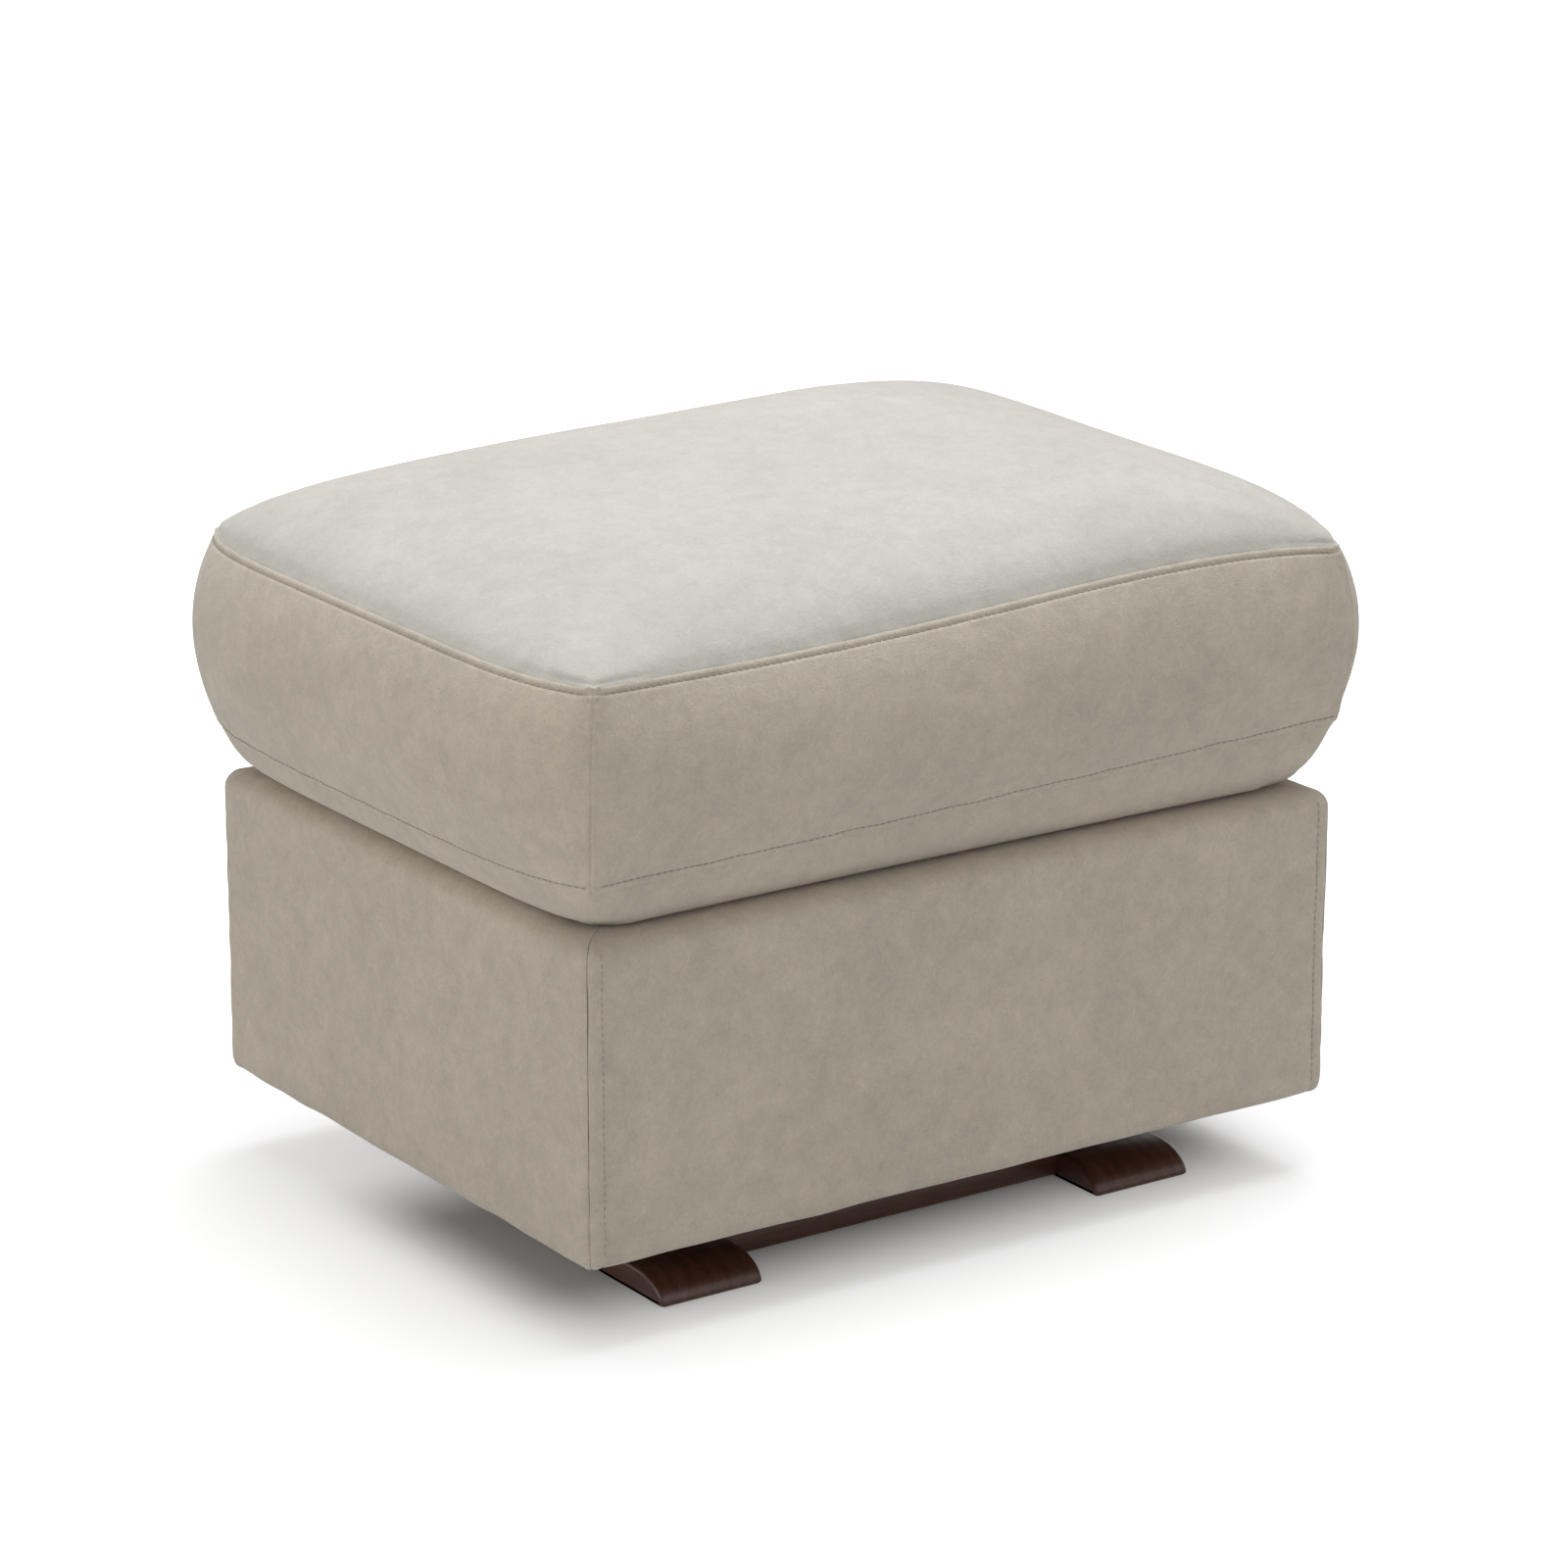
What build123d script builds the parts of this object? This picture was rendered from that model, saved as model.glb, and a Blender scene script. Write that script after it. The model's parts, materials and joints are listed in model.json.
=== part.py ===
"""Glider ottoman: an upholstered box with a loose cushion, hung on four swing arms above a low wooden base.

Frame: millimetres, +Z up, origin on the floor under the middle of the ottoman.
+X runs along the long side, and -Y is the front.
The box hangs from the two steel brackets of the base like the platform of a parallel-arm swing, so it
glides forwards and backwards and stays level.
"""

import os
from math import cos, pi, radians, sin, sqrt

from build123d import *

os.makedirs("parts", exist_ok=True)

# ---------------------------------------------------------------- driving dimensions: upholstered box
body_width = 572.0  # along X, over the fabric
body_depth = 444.0  # along Y, over the fabric
body_bottom = 56.0  # lower edge of the box above the floor
body_height = 207.0
body_corner_round = 9.0  # upright corners
body_top_round = 12.0  # upper edges
body_bottom_round = 4.0  # lower edges
cover_thickness = 1.5  # upholstery fabric with its backing
padding_thickness = 8.0  # polyester wadding on the four sides
board_thickness = 18.0  # plywood of the box
layer_gap = 0.3  # clearance between soft layers that lie on each other
top_turn_in = 55.0  # fabric turned over the top edge
bottom_turn_in = 30.0  # fabric turned under the lower edge and stapled
deck_pad_thickness = 10.4
deck_sheet_thickness = 1.5
spring_room = 10.5  # height between the front and rear boards and the deck pad
corner_block_leg = 38.0
corner_block_height = 170.0
corner_block_rise = 4.0  # above the lower edge of the boards
deck_sheet_sink = 0.2  # of the deck cloth below the turned-over fabric

# ---------------------------------------------------------------- driving dimensions: deck springs
spring_count = 5
spring_side_room = 58.2  # from the outer springs' centre lines to the side boards
spring_wire = 3.3
spring_width = 50.0  # over the loops, between wire centres
spring_bars = 21
spring_height = 4.6  # wire centre above the board
clip_width = 26.0
clip_plate = 1.5
clip_length = 14.0
clip_eye_wall = 1.75

# ---------------------------------------------------------------- driving dimensions: cushion
cushion_underside_height = 35.0  # from the underside to the lower seam
cushion_band_height = 126.0  # between the seams
cushion_crown_height = 48.5  # above the upper seam
cushion_overhang_x = 9.5  # of the upper seam beyond the box
cushion_overhang_y = 6.5
cushion_swell_x = 20.5  # how far the short sides are blown out between their seams
cushion_swell_y = 12.0
cushion_bow_x = 8.5  # how far the middle of a short side stands out from the line of its corners
cushion_seam_draw_y = 6.0  # how far the middle of a long side's seams is drawn in
cushion_swell_bow_y = 9.0  # how far the swell of a long side brings its middle out again
cushion_corner_round = 34.0  # upright corners at the seams
cushion_corner_puff = 18.0  # what the swell adds to that radius
cushion_seam_shift = 15.0  # of the upright corner seams towards the middle of the long sides
cushion_underside_round = 27.0  # how far the underside draws in below the lower seam
cushion_crown_overhang = 4.5  # of the crown over the upper seam at the short sides
cushion_crown_round = 82.0  # corners of the crown, seen from above
cushion_crown_bow_x = 7.0  # how far the middle of the crown's short sides stands out
cushion_crown_bow_y = 2.5
crown_flatness_x, crown_steepness_x = 5.0, 0.69  # a larger power is flatter, a smaller one steeper
crown_flatness_y, crown_steepness_y = 4.4, 0.58
foam_inset_x = 31.5  # from the upper seam's corners to the foam
foam_inset_y = 37.0
foam_inset_below = 14.5
foam_inset_above = 30.0
foam_corner_round = 40.0
foam_edge_round = 16.0
touch_strip_thickness = 1.25
touch_strip_width = 25.0
touch_strip_inset_x = 76.0  # from the sides of the box to the strips' ends
touch_strip_inset_y = 72.0  # from the front of the box to the strip's centre line
touch_strip_press = 0.2  # thickness of the closed pile between the strips

# ---------------------------------------------------------------- driving dimensions: wooden base
runner_length = 366.0
runner_width = 76.0
runner_thickness = 19.0
runner_inset = 117.0  # from the box's side to the runner's centre line
runner_nose_length = 33.0  # the rounded end
runner_nose_flat = 2.0  # upright part of the nose above the floor
runner_edge_round = 2.5
stretcher_width = 76.0
stretcher_thickness = 16.0
stretcher_inset = 43.0  # from the runners' ends to the stretcher's outer edge
stretcher_edge_round = 1.5
dowel_radius = 4.0
dowel_length = 50.0
dowel_spacing = 40.0
glue_gap = 0.02  # clearance of a glued or pressed round fit

# ---------------------------------------------------------------- driving dimensions: glide linkage
pivot_inset = 127.0  # from the box's front to the front pivots
arm_length = 120.0  # between the pivot centres of one arm
swing_limit = 25.0  # degrees each way, where the arms meet the rubber stops
arm_width = 30.0
arm_thickness = 5.0
arm_boss_radius = 14.0
bracket_inset = 8.0  # from the runner's inner edge to the web's outer face
bracket_plate = 3.0
bracket_foot_width = 50.0
bracket_foot_overhang = 30.0  # beyond the pivots
bracket_screw_offset = 33.0  # from the web's outer face to the screws
bracket_screw_end = 20.0  # from the foot's end to the outer screws
bracket_screw_inner = 40.0  # from the middle to the inner screws
bracket_ear_radius = 17.0
bracket_heel = 14.0  # square lower part of the web
arm_standoff = 8.0  # from the bracket to the bearing
rail_standoff = 2.0  # from the bearing to the glide rail
rail_thickness = 22.0
rail_height = 50.0
rail_drop = 23.0  # from the lower pivot down to the rail's underside
rail_rise = 6.0  # of the rail's underside above the lower edge of the box

# ---------------------------------------------------------------- driving dimensions: bearings and fasteners
bearing_outer_radius = 11.0
bearing_bore_radius = 4.0
bearing_width = 7.0
bearing_pitch_radius = 7.5
bearing_ball_radius = 1.98
bearing_ball_count = 7
bearing_groove_play = 0.05
bearing_shoulder = 1.8  # from the ball's pitch circle to each ring
bearing_shield = 0.4
bearing_shield_gap = 0.4
bolt_radius = 3.97
bolt_hole_play = 0.2
spacer_radius = 6.0
washer_radius = 8.0
washer_thickness = 1.6
thin_washer_thickness = 1.2
hex_across_flats = 13.0
hex_head_height = 5.3
lock_nut_height = 8.0
button_head_radius = 7.0
button_head_height = 4.4
bolt_end = 2.0  # thread past the nut
stop_radius = 8.0
stop_length = 13.0
stop_stem_radius = 4.0
stop_collar_radius = 6.0
stop_collar_length = 3.0
stop_reach = 75.0  # from the upper pivot along the arm
stop_gap = 0.3  # left between arm and stop at the limit
wood_screw_radius = 2.4
wood_screw_head_radius = 4.5
wood_screw_head_height = 3.0
wood_screw_depth = 14.0
wood_screw_play = 0.05
rail_screw_length = 50.0
rail_screw_spacing = 26.0
screw_recess_width = 1.1
screw_recess_length = 6.0
screw_recess_depth = 1.0
staple_crown = 10.0
staple_leg = 8.0
staple_wire = 0.8

# ---------------------------------------------------------------- drawing steps and cuts
band_steps = 8  # level outlines between the seams
crown_steps = 9  # the last of them would be the point at the top
cut_margin = 60.0  # how far a cutting shape reaches past what it cuts

# ---------------------------------------------------------------- worked out from the above
half_width = body_width / 2
half_depth = body_depth / 2
body_top = body_bottom + body_height
padding_offset = cover_thickness + layer_gap
board_offset = padding_offset + padding_thickness
board_half_x = half_width - board_offset
board_half_y = half_depth - board_offset
inside_half_x = board_half_x - board_thickness
inside_half_y = board_half_y - board_thickness
board_bottom = body_bottom + cover_thickness + layer_gap
deck_sheet_top = body_top - deck_sheet_sink
deck_sheet_bottom = deck_sheet_top - deck_sheet_thickness
deck_pad_top = body_top - cover_thickness - layer_gap
deck_pad_bottom = deck_pad_top - deck_pad_thickness
side_board_top = deck_pad_bottom - layer_gap
spring_board_top = deck_pad_bottom - spring_room
spring_spacing = 2 * (inside_half_x - spring_side_room) / (spring_count - 1)
cushion_bottom = deck_sheet_top + 2 * touch_strip_thickness + touch_strip_press
cushion_lower_seam = cushion_bottom + cushion_underside_height
cushion_upper_seam = cushion_lower_seam + cushion_band_height
cushion_top = cushion_upper_seam + cushion_crown_height
cushion_half_x = half_width + cushion_overhang_x
cushion_half_y = half_depth + cushion_overhang_y
foam_half_x = cushion_half_x - foam_inset_x
foam_half_y = cushion_half_y - foam_inset_y
foam_bottom = cushion_bottom + foam_inset_below
foam_top = cushion_top - foam_inset_above
touch_strip_length = body_width - 2 * touch_strip_inset_x
touch_strip_place = half_depth - touch_strip_inset_y
pivot_spacing = body_depth - 2 * pivot_inset
rail_bottom = body_bottom + rail_rise
lower_pivot_height = rail_bottom + rail_drop
upper_pivot_height = lower_pivot_height + arm_length
runner_place = half_width - runner_inset
runner_inner_edge = runner_place - runner_width / 2
stretcher_front = runner_length / 2 - stretcher_inset
stretcher_bottom = runner_thickness - stretcher_thickness
bracket_face = runner_inner_edge + bracket_inset
bracket_foot_length = pivot_spacing + 2 * bracket_foot_overhang
bracket_screw_x = bracket_face + bracket_screw_offset
bracket_screw_places = [
    side * place
    for side in (-1, 1)
    for place in (bracket_foot_length / 2 - bracket_screw_end, bracket_screw_inner)
]
arm_inner_face = bracket_face + arm_standoff
arm_outer_face = arm_inner_face + bearing_width
rail_inner_face = arm_outer_face + rail_standoff
rail_outer_face = rail_inner_face + rail_thickness
bolt_hole_radius = bolt_radius + bolt_hole_play


# ---------------------------------------------------------------- helpers
def block(x, y, z):
    """A box from three (low, high) pairs."""
    size = [high - low for low, high in (x, y, z)]
    centre = [(high + low) / 2 for low, high in (x, y, z)]
    return Pos(*centre) * Box(*size)


def rod_x(radius, start, end, y, z):
    """A round rod along X between two places."""
    low, high = min(start, end), max(start, end)
    return Pos((low + high) / 2, y, z) * Rot(0, 90, 0) * Cylinder(radius, high - low)


def ring_x(outer, inner, start, end, y, z):
    """A round ring along X between two places."""
    return rod_x(outer, start, end, y, z) - rod_x(inner, start - 1, end + 1, y, z)


def hexagon_x(across_flats, start, end, y, z):
    """A hexagonal prism along X between two places."""
    plane = Plane(origin=(min(start, end), y, z), x_dir=(0, 1, 0), z_dir=(1, 0, 0))
    outline = plane * RegularPolygon(across_flats / 2, 6, major_radius=False)
    return extrude(outline, abs(end - start))


def left_of(shape):
    """The same piece on the left side: mirrored across the middle."""
    return mirror(shape, Plane.YZ)


def rear_of(shape):
    """The same piece at the rear: mirrored from front to back."""
    return mirror(shape, Plane.XZ)


def save(name, *solids):
    """Writes one node, as one solid or a group of separate solids."""
    pieces = [s for shape in solids for s in shape.solids()]
    export_step(pieces[0] if len(pieces) == 1 else Compound(pieces), f"parts/{name}.step")


def corner_wedge(side, corner, low, high, reach=150.0):
    """The space of the front or left side of a box, mitred at 45 degrees at its two upright corners."""
    long_x, long_y = (place + cut_margin for place in corner)
    near_x, near_y = (place - reach for place in corner)
    outlines = {
        "front": [(-long_x, -long_y), (long_x, -long_y), (near_x, -near_y), (-near_x, -near_y)],
        "left": [(-long_x, long_y), (-long_x, -long_y), (-near_x, -near_y), (-near_x, near_y)],
    }
    outline = make_face(Polyline(*outlines[side], close=True))
    return Pos(0, 0, low) * extrude(outline, high - low)


def save_four_sides(name, ring, corner, low, high):
    """Cuts a closed ring into its front and left side, and writes them and their mirrored fellows."""
    front = ring & corner_wedge("front", corner, low, high)
    left = ring & corner_wedge("left", corner, low, high)
    for side, piece in (
        ("front", front),
        ("rear", rear_of(front)),
        ("left", left),
        ("right", left_of(left)),
    ):
        save(name.format(side), piece)


# ---------------------------------------------------------------- wooden base
def runner():
    """The right runner: a flat board with both ends rounded over, drilled for dowels and bracket screws."""
    end = runner_length / 2
    shoulder = end - runner_nose_length
    rise = runner_thickness - runner_nose_flat
    plane = Plane(origin=(0, 0, 0), x_dir=(0, 1, 0), z_dir=(1, 0, 0))
    front_nose = EllipticalCenterArc((-shoulder, runner_nose_flat), runner_nose_length, rise, 90, arc_size=90)
    rear_nose = EllipticalCenterArc((shoulder, runner_nose_flat), runner_nose_length, rise, 0, arc_size=90)
    outline = make_face(
        [
            Line((-end, 0), (end, 0)),
            Line((end, 0), (end, runner_nose_flat)),
            rear_nose,
            Line((shoulder, runner_thickness), (-shoulder, runner_thickness)),
            front_nose,
            Line((-end, runner_nose_flat), (-end, 0)),
        ]
    )
    board = Pos(runner_inner_edge, 0, 0) * extrude(plane * outline, runner_width)
    edges = board.faces().sort_by(Axis.X)[0].edges() + board.faces().sort_by(Axis.X)[-1].edges()
    board = fillet(edges.filter_by(lambda e: e.center().Z > runner_nose_flat), runner_edge_round)
    for x, y, z in dowel_places():
        board -= rod_x(dowel_radius + glue_gap, x - 1, x + dowel_length / 2 + 1, y, z)
    for y in bracket_screw_places:
        board -= screw_hole_z(bracket_screw_x, y, runner_thickness)
    return board


def screw_hole_z(x, y, top):
    """The pilot hole of an upright wood screw."""
    depth = wood_screw_depth + 0.5
    return Pos(x, y, top - depth / 2) * Cylinder(wood_screw_radius + wood_screw_play, depth)


def dowel_places():
    """Where the dowels of the right runner cross its inner edge."""
    middle = stretcher_front - stretcher_width / 2
    height = stretcher_bottom + stretcher_thickness / 2
    places = []
    for row in (-middle, middle):
        for shift in (-dowel_spacing / 2, dowel_spacing / 2):
            places.append((runner_inner_edge, row + shift, height))
    return places


def stretcher():
    """The front stretcher: a flat board between the runners, flush with their tops."""
    board = block(
        (-runner_inner_edge, runner_inner_edge),
        (-stretcher_front, -stretcher_front + stretcher_width),
        (stretcher_bottom, runner_thickness),
    )
    board = fillet(board.edges().filter_by(Axis.X), stretcher_edge_round)
    for x, y, z in dowel_places():
        if y < 0:
            hole = rod_x(dowel_radius + glue_gap, x - dowel_length / 2 - 1, x + 1, y, z)
            board -= hole
            board -= left_of(hole)
    return board


def dowels():
    """The right runner's four dowels."""
    return [
        rod_x(dowel_radius, x - dowel_length / 2, x + dowel_length / 2, y, z)
        for x, y, z in dowel_places()
    ]


# ---------------------------------------------------------------- steel brackets
def stop_places():
    """Centre of each rubber stop (y, z): it meets the inner edge of an arm at the swing limit."""
    tilt = radians(swing_limit)
    off = arm_width / 2 + stop_gap + stop_radius
    y = pivot_spacing / 2 - stop_reach * sin(tilt) - off * cos(tilt)
    z = upper_pivot_height - stop_reach * cos(tilt) + off * sin(tilt)
    return [(-y, z), (y, z)]


def bracket():
    """The right bracket: an upright web that carries both upper pivots, with a foot on the runner."""
    web_plane = Plane(
        origin=(bracket_face - bracket_plate, 0, 0), x_dir=(0, 1, 0), z_dir=(1, 0, 0)
    )
    half_pivot = pivot_spacing / 2
    foot_half = bracket_foot_length / 2
    corner_round = 6.0
    ears = [Pos(y, upper_pivot_height) * Circle(bracket_ear_radius) for y in (-half_pivot, half_pivot)]
    heel = Pos(0, runner_thickness + bracket_heel / 2) * Rectangle(bracket_foot_length, bracket_heel)
    outline = make_hull([e for c in ears + [heel] for e in c.edges()])
    web = extrude(web_plane * outline, bracket_plate)
    foot = block(
        (bracket_face - bracket_plate, bracket_face + bracket_foot_width),
        (-foot_half, foot_half),
        (runner_thickness, runner_thickness + bracket_plate),
    )
    outer_corners = foot.edges().filter_by(Axis.Z).group_by(Axis.X)[-1]
    plate = web + fillet(outer_corners, corner_round)
    inner_bend = plate.edges().filter_by(Axis.Y).filter_by(
        lambda e: abs(e.center().X - bracket_face) < 0.01
        and abs(e.center().Z - runner_thickness - bracket_plate) < 0.01
    )
    plate = fillet(inner_bend, bracket_plate)
    for y in (-half_pivot, half_pivot):
        plate -= rod_x(bolt_hole_radius, bracket_face - 10, bracket_face + 10, y, upper_pivot_height)
    for y, z in stop_places():
        plate -= rod_x(stop_stem_radius + bolt_hole_play, bracket_face - 10, bracket_face + 10, y, z)
    for y in bracket_screw_places:
        plate -= Pos(bracket_screw_x, y, runner_thickness) * Cylinder(wood_screw_radius + 0.4, 20)
    return plate


def bracket_screws():
    """The right bracket's four pan-head wood screws."""
    foot_top = runner_thickness + bracket_plate
    screws = []
    for y in bracket_screw_places:
        length = wood_screw_depth + bracket_plate
        shank = Pos(bracket_screw_x, y, foot_top - length / 2) * Cylinder(wood_screw_radius, length)
        head = Pos(bracket_screw_x, y, foot_top + wood_screw_head_height / 2) * Cylinder(
            wood_screw_head_radius, wood_screw_head_height
        )
        head = fillet(head.edges().group_by(Axis.Z)[-1], 1.4)
        top = Pos(bracket_screw_x, y, foot_top + wood_screw_head_height)
        slot = top * Box(screw_recess_width, screw_recess_length, 2 * screw_recess_depth)
        cross = top * Box(screw_recess_length, screw_recess_width, 2 * screw_recess_depth)
        screws.append(head + shank - slot - cross)
    return screws


def travel_stops():
    """The right bracket's two rubber stops, each pushed through the web with a collar behind it."""
    stops = []
    for y, z in stop_places():
        head = rod_x(stop_radius, bracket_face, bracket_face + stop_length, y, z)
        head = fillet(head.edges().group_by(Axis.X)[-1], 2.0)
        behind = bracket_face - bracket_plate
        stem = rod_x(stop_stem_radius, behind - stop_collar_length, bracket_face, y, z)
        collar = rod_x(stop_collar_radius, behind - stop_collar_length, behind, y, z)
        stops.append(head + stem + fillet(collar.edges().group_by(Axis.X)[0], 1.2))
    return stops


# ---------------------------------------------------------------- arms and bearings
def arm(y):
    """One right-hand swing arm at rest: a flat bar with a bearing housing at each end."""
    middle = (arm_inner_face + arm_outer_face) / 2
    plane = Plane(origin=(middle, y, 0), x_dir=(0, 1, 0), z_dir=(1, 0, 0))
    half = arm_width / 2
    ends = [
        Pos(0, z) * Circle(half) for z in (upper_pivot_height, lower_pivot_height)
    ]
    outline = make_hull([e for c in ends for e in c.edges()])
    bar = extrude(plane * outline, arm_thickness / 2, both=True)
    bar = chamfer(bar.faces().sort_by(Axis.X)[-1].edges() + bar.faces().sort_by(Axis.X)[0].edges(), 0.6)
    for z in (upper_pivot_height, lower_pivot_height):
        bar += rod_x(arm_boss_radius, arm_inner_face, arm_outer_face, y, z)
    for z in (upper_pivot_height, lower_pivot_height):
        bar -= rod_x(bearing_outer_radius + glue_gap, arm_inner_face - 1, arm_outer_face + 1, y, z)
    return bar


def bearing_groove(y, z):
    """The ring of space that the balls run in."""
    groove = Torus(bearing_pitch_radius, bearing_ball_radius + bearing_groove_play)
    return Pos((arm_inner_face + arm_outer_face) / 2, y, z) * Rot(0, 90, 0) * groove


def outer_ring(y, z):
    """A bearing's outer ring with its two shields."""
    land = bearing_pitch_radius + bearing_shoulder
    inner_land = bearing_pitch_radius - bearing_shoulder
    ring = ring_x(bearing_outer_radius, land, arm_inner_face, arm_outer_face, y, z)
    ring -= bearing_groove(y, z)
    shield_bore = inner_land + bearing_shield_gap
    for start in (arm_inner_face, arm_outer_face - bearing_shield):
        ring += ring_x(land + 0.2, shield_bore, start, start + bearing_shield, y, z)
    return ring


def inner_ring(y, z):
    """A bearing's inner ring, clamped on its bolt."""
    land = bearing_pitch_radius - bearing_shoulder
    ring = ring_x(land, bearing_bore_radius, arm_inner_face, arm_outer_face, y, z)
    return ring - bearing_groove(y, z)


def balls(y, z):
    """A bearing's balls."""
    middle = (arm_inner_face + arm_outer_face) / 2
    step = radians(360 / bearing_ball_count)
    return [
        Pos(
            middle,
            y + bearing_pitch_radius * cos(n * step),
            z + bearing_pitch_radius * sin(n * step),
        )
        * Sphere(bearing_ball_radius)
        for n in range(bearing_ball_count)
    ]


# ---------------------------------------------------------------- pivot bolts
def upper_bolt(y):
    """Right upper pivot: hex head outside the arm, nut inside the bracket."""
    head_face = arm_outer_face + washer_thickness
    end = bracket_face - bracket_plate - washer_thickness - lock_nut_height - bolt_end
    shank = rod_x(bolt_radius, end, head_face, y, upper_pivot_height)
    shank = chamfer(shank.edges().group_by(Axis.X)[0], 0.8)
    return shank + hexagon_x(hex_across_flats, head_face, head_face + hex_head_height, y, upper_pivot_height)


def upper_washers(y):
    """Right upper pivot: one washer under the head, one under the nut."""
    behind = bracket_face - bracket_plate
    return [
        ring_x(washer_radius, bolt_hole_radius, start, start + washer_thickness, y, upper_pivot_height)
        for start in (arm_outer_face, behind - washer_thickness)
    ]


def lock_nut(start, end, y, z, collar_at):
    """A lock nut between two places along X, with its nylon collar end rounded."""
    nut = hexagon_x(hex_across_flats, start, end, y, z)
    collar_height = 2.2
    low, high = (start, start + collar_height) if collar_at == "low" else (end - collar_height, end)
    nut -= ring_x(hex_across_flats, hex_across_flats / 2 - 0.4, low - 0.5, high, y, z) if (
        collar_at == "low"
    ) else ring_x(hex_across_flats, hex_across_flats / 2 - 0.4, low, high + 0.5, y, z)
    return nut - rod_x(bolt_radius + glue_gap, start - 1, end + 1, y, z)


def upper_nut(y):
    """Right upper pivot: the lock nut inside the bracket."""
    outer = bracket_face - bracket_plate - washer_thickness
    return lock_nut(outer - lock_nut_height, outer, y, upper_pivot_height, "low")


def lower_bolt(y):
    """Right lower pivot: low round head inside the arm, so that it clears the bracket."""
    head_face = arm_inner_face - thin_washer_thickness
    end = rail_outer_face + washer_thickness + lock_nut_height + bolt_end
    shank = rod_x(bolt_radius, head_face, end, y, lower_pivot_height)
    shank = chamfer(shank.edges().group_by(Axis.X)[-1], 0.8)
    head = rod_x(button_head_radius, head_face - button_head_height, head_face, y, lower_pivot_height)
    head = fillet(head.edges().group_by(Axis.X)[0], button_head_height * 0.7)
    socket = hexagon_x(5.0, head_face - button_head_height - 1, head_face - 2, y, lower_pivot_height)
    return head + shank - socket


def lower_washers(y):
    """Right lower pivot: a thin washer under the head and one under the nut."""
    z = lower_pivot_height
    thin_start = arm_inner_face - thin_washer_thickness
    return [
        ring_x(spacer_radius, bolt_hole_radius, thin_start, arm_inner_face, y, z),
        ring_x(washer_radius, bolt_hole_radius, rail_outer_face, rail_outer_face + washer_thickness, y, z),
    ]


def lower_nut(y):
    """Right lower pivot: the lock nut outside the glide rail."""
    start = rail_outer_face + washer_thickness
    return lock_nut(start, start + lock_nut_height, y, lower_pivot_height, "high")


# ---------------------------------------------------------------- box frame
def rail_screw_places():
    """Centre (x, z) of the screws through the front board into the right glide rail."""
    x = (rail_inner_face + rail_outer_face) / 2
    z = rail_bottom + rail_height / 2
    return [(x, z - rail_screw_spacing / 2), (x, z + rail_screw_spacing / 2)]


def rail_screw_shape(x, z, play):
    """A countersunk screw along Y through the front board, or its hole."""
    radius = wood_screw_radius + play
    head_radius = wood_screw_head_radius + play
    head_depth = 4.0
    face = -board_half_y
    shank = Pos(x, face + rail_screw_length / 2, z) * Rot(90, 0, 0) * Cylinder(
        radius, rail_screw_length + 2 * play
    )
    head = Pos(x, face + head_depth / 2, z) * Rot(90, 0, 0) * Cone(radius, head_radius, head_depth)
    return head + shank


def end_board():
    """The front board, with holes for the glide rails' screws."""
    board = block(
        (-inside_half_x, inside_half_x),
        (-board_half_y, -inside_half_y),
        (board_bottom, spring_board_top),
    )
    for x, z in rail_screw_places():
        hole = rail_screw_shape(x, z, wood_screw_play)
        board -= hole
        board -= left_of(hole)
    return board


def side_board():
    """The right side board."""
    return block(
        (inside_half_x, board_half_x), (-board_half_y, board_half_y), (board_bottom, side_board_top)
    )


def corner_blocks():
    """Four glued three-sided blocks in the corners of the box."""
    x, y = inside_half_x, inside_half_y
    outline = make_face(Polyline((x, y), (x - corner_block_leg, y), (x, y - corner_block_leg), close=True))
    right_rear = Pos(0, 0, board_bottom + corner_block_rise) * extrude(outline, corner_block_height)
    right_front = rear_of(right_rear)
    return [right_rear, right_front, left_of(right_rear), left_of(right_front)]


def glide_rail():
    """The right glide rail: a hardwood bar across the box that hangs on the lower pivots."""
    rail = block(
        (rail_inner_face, rail_outer_face),
        (-inside_half_y, inside_half_y),
        (rail_bottom, rail_bottom + rail_height),
    )
    for y in (-pivot_spacing / 2, pivot_spacing / 2):
        rail -= rod_x(bolt_hole_radius, rail_inner_face - 1, rail_outer_face + 1, y, lower_pivot_height)
    for x, z in rail_screw_places():
        hole = rail_screw_shape(x, z, wood_screw_play)
        rail -= hole
        rail -= rear_of(hole)
    return rail


def deck_spring(x):
    """One sinuous spring, from the clip on the front board to the clip on the rear board."""
    reach = (board_half_y + inside_half_y) / 2
    pitch = 2 * reach / (spring_bars - 1)
    bend = pitch / 2 - 0.2
    half = spring_width / 2
    end_bar = clip_width / 2 + 4.0
    z = spring_board_top + spring_height
    points = [(x - end_bar, -reach, z)]
    for n in range(spring_bars - 1):
        side = half if n % 2 == 0 else -half
        y = -reach + n * pitch
        points += [(x + side, y, z), (x + side, y + pitch, z)]
    last = -end_bar if (spring_bars - 1) % 2 == 0 else end_bar
    points.append((x - last, reach, z))
    path = FilletPolyline(*points, radius=bend)
    start = Plane(origin=path @ 0, z_dir=path % 0)
    return sweep(start * Circle(spring_wire / 2), path=path)


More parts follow.
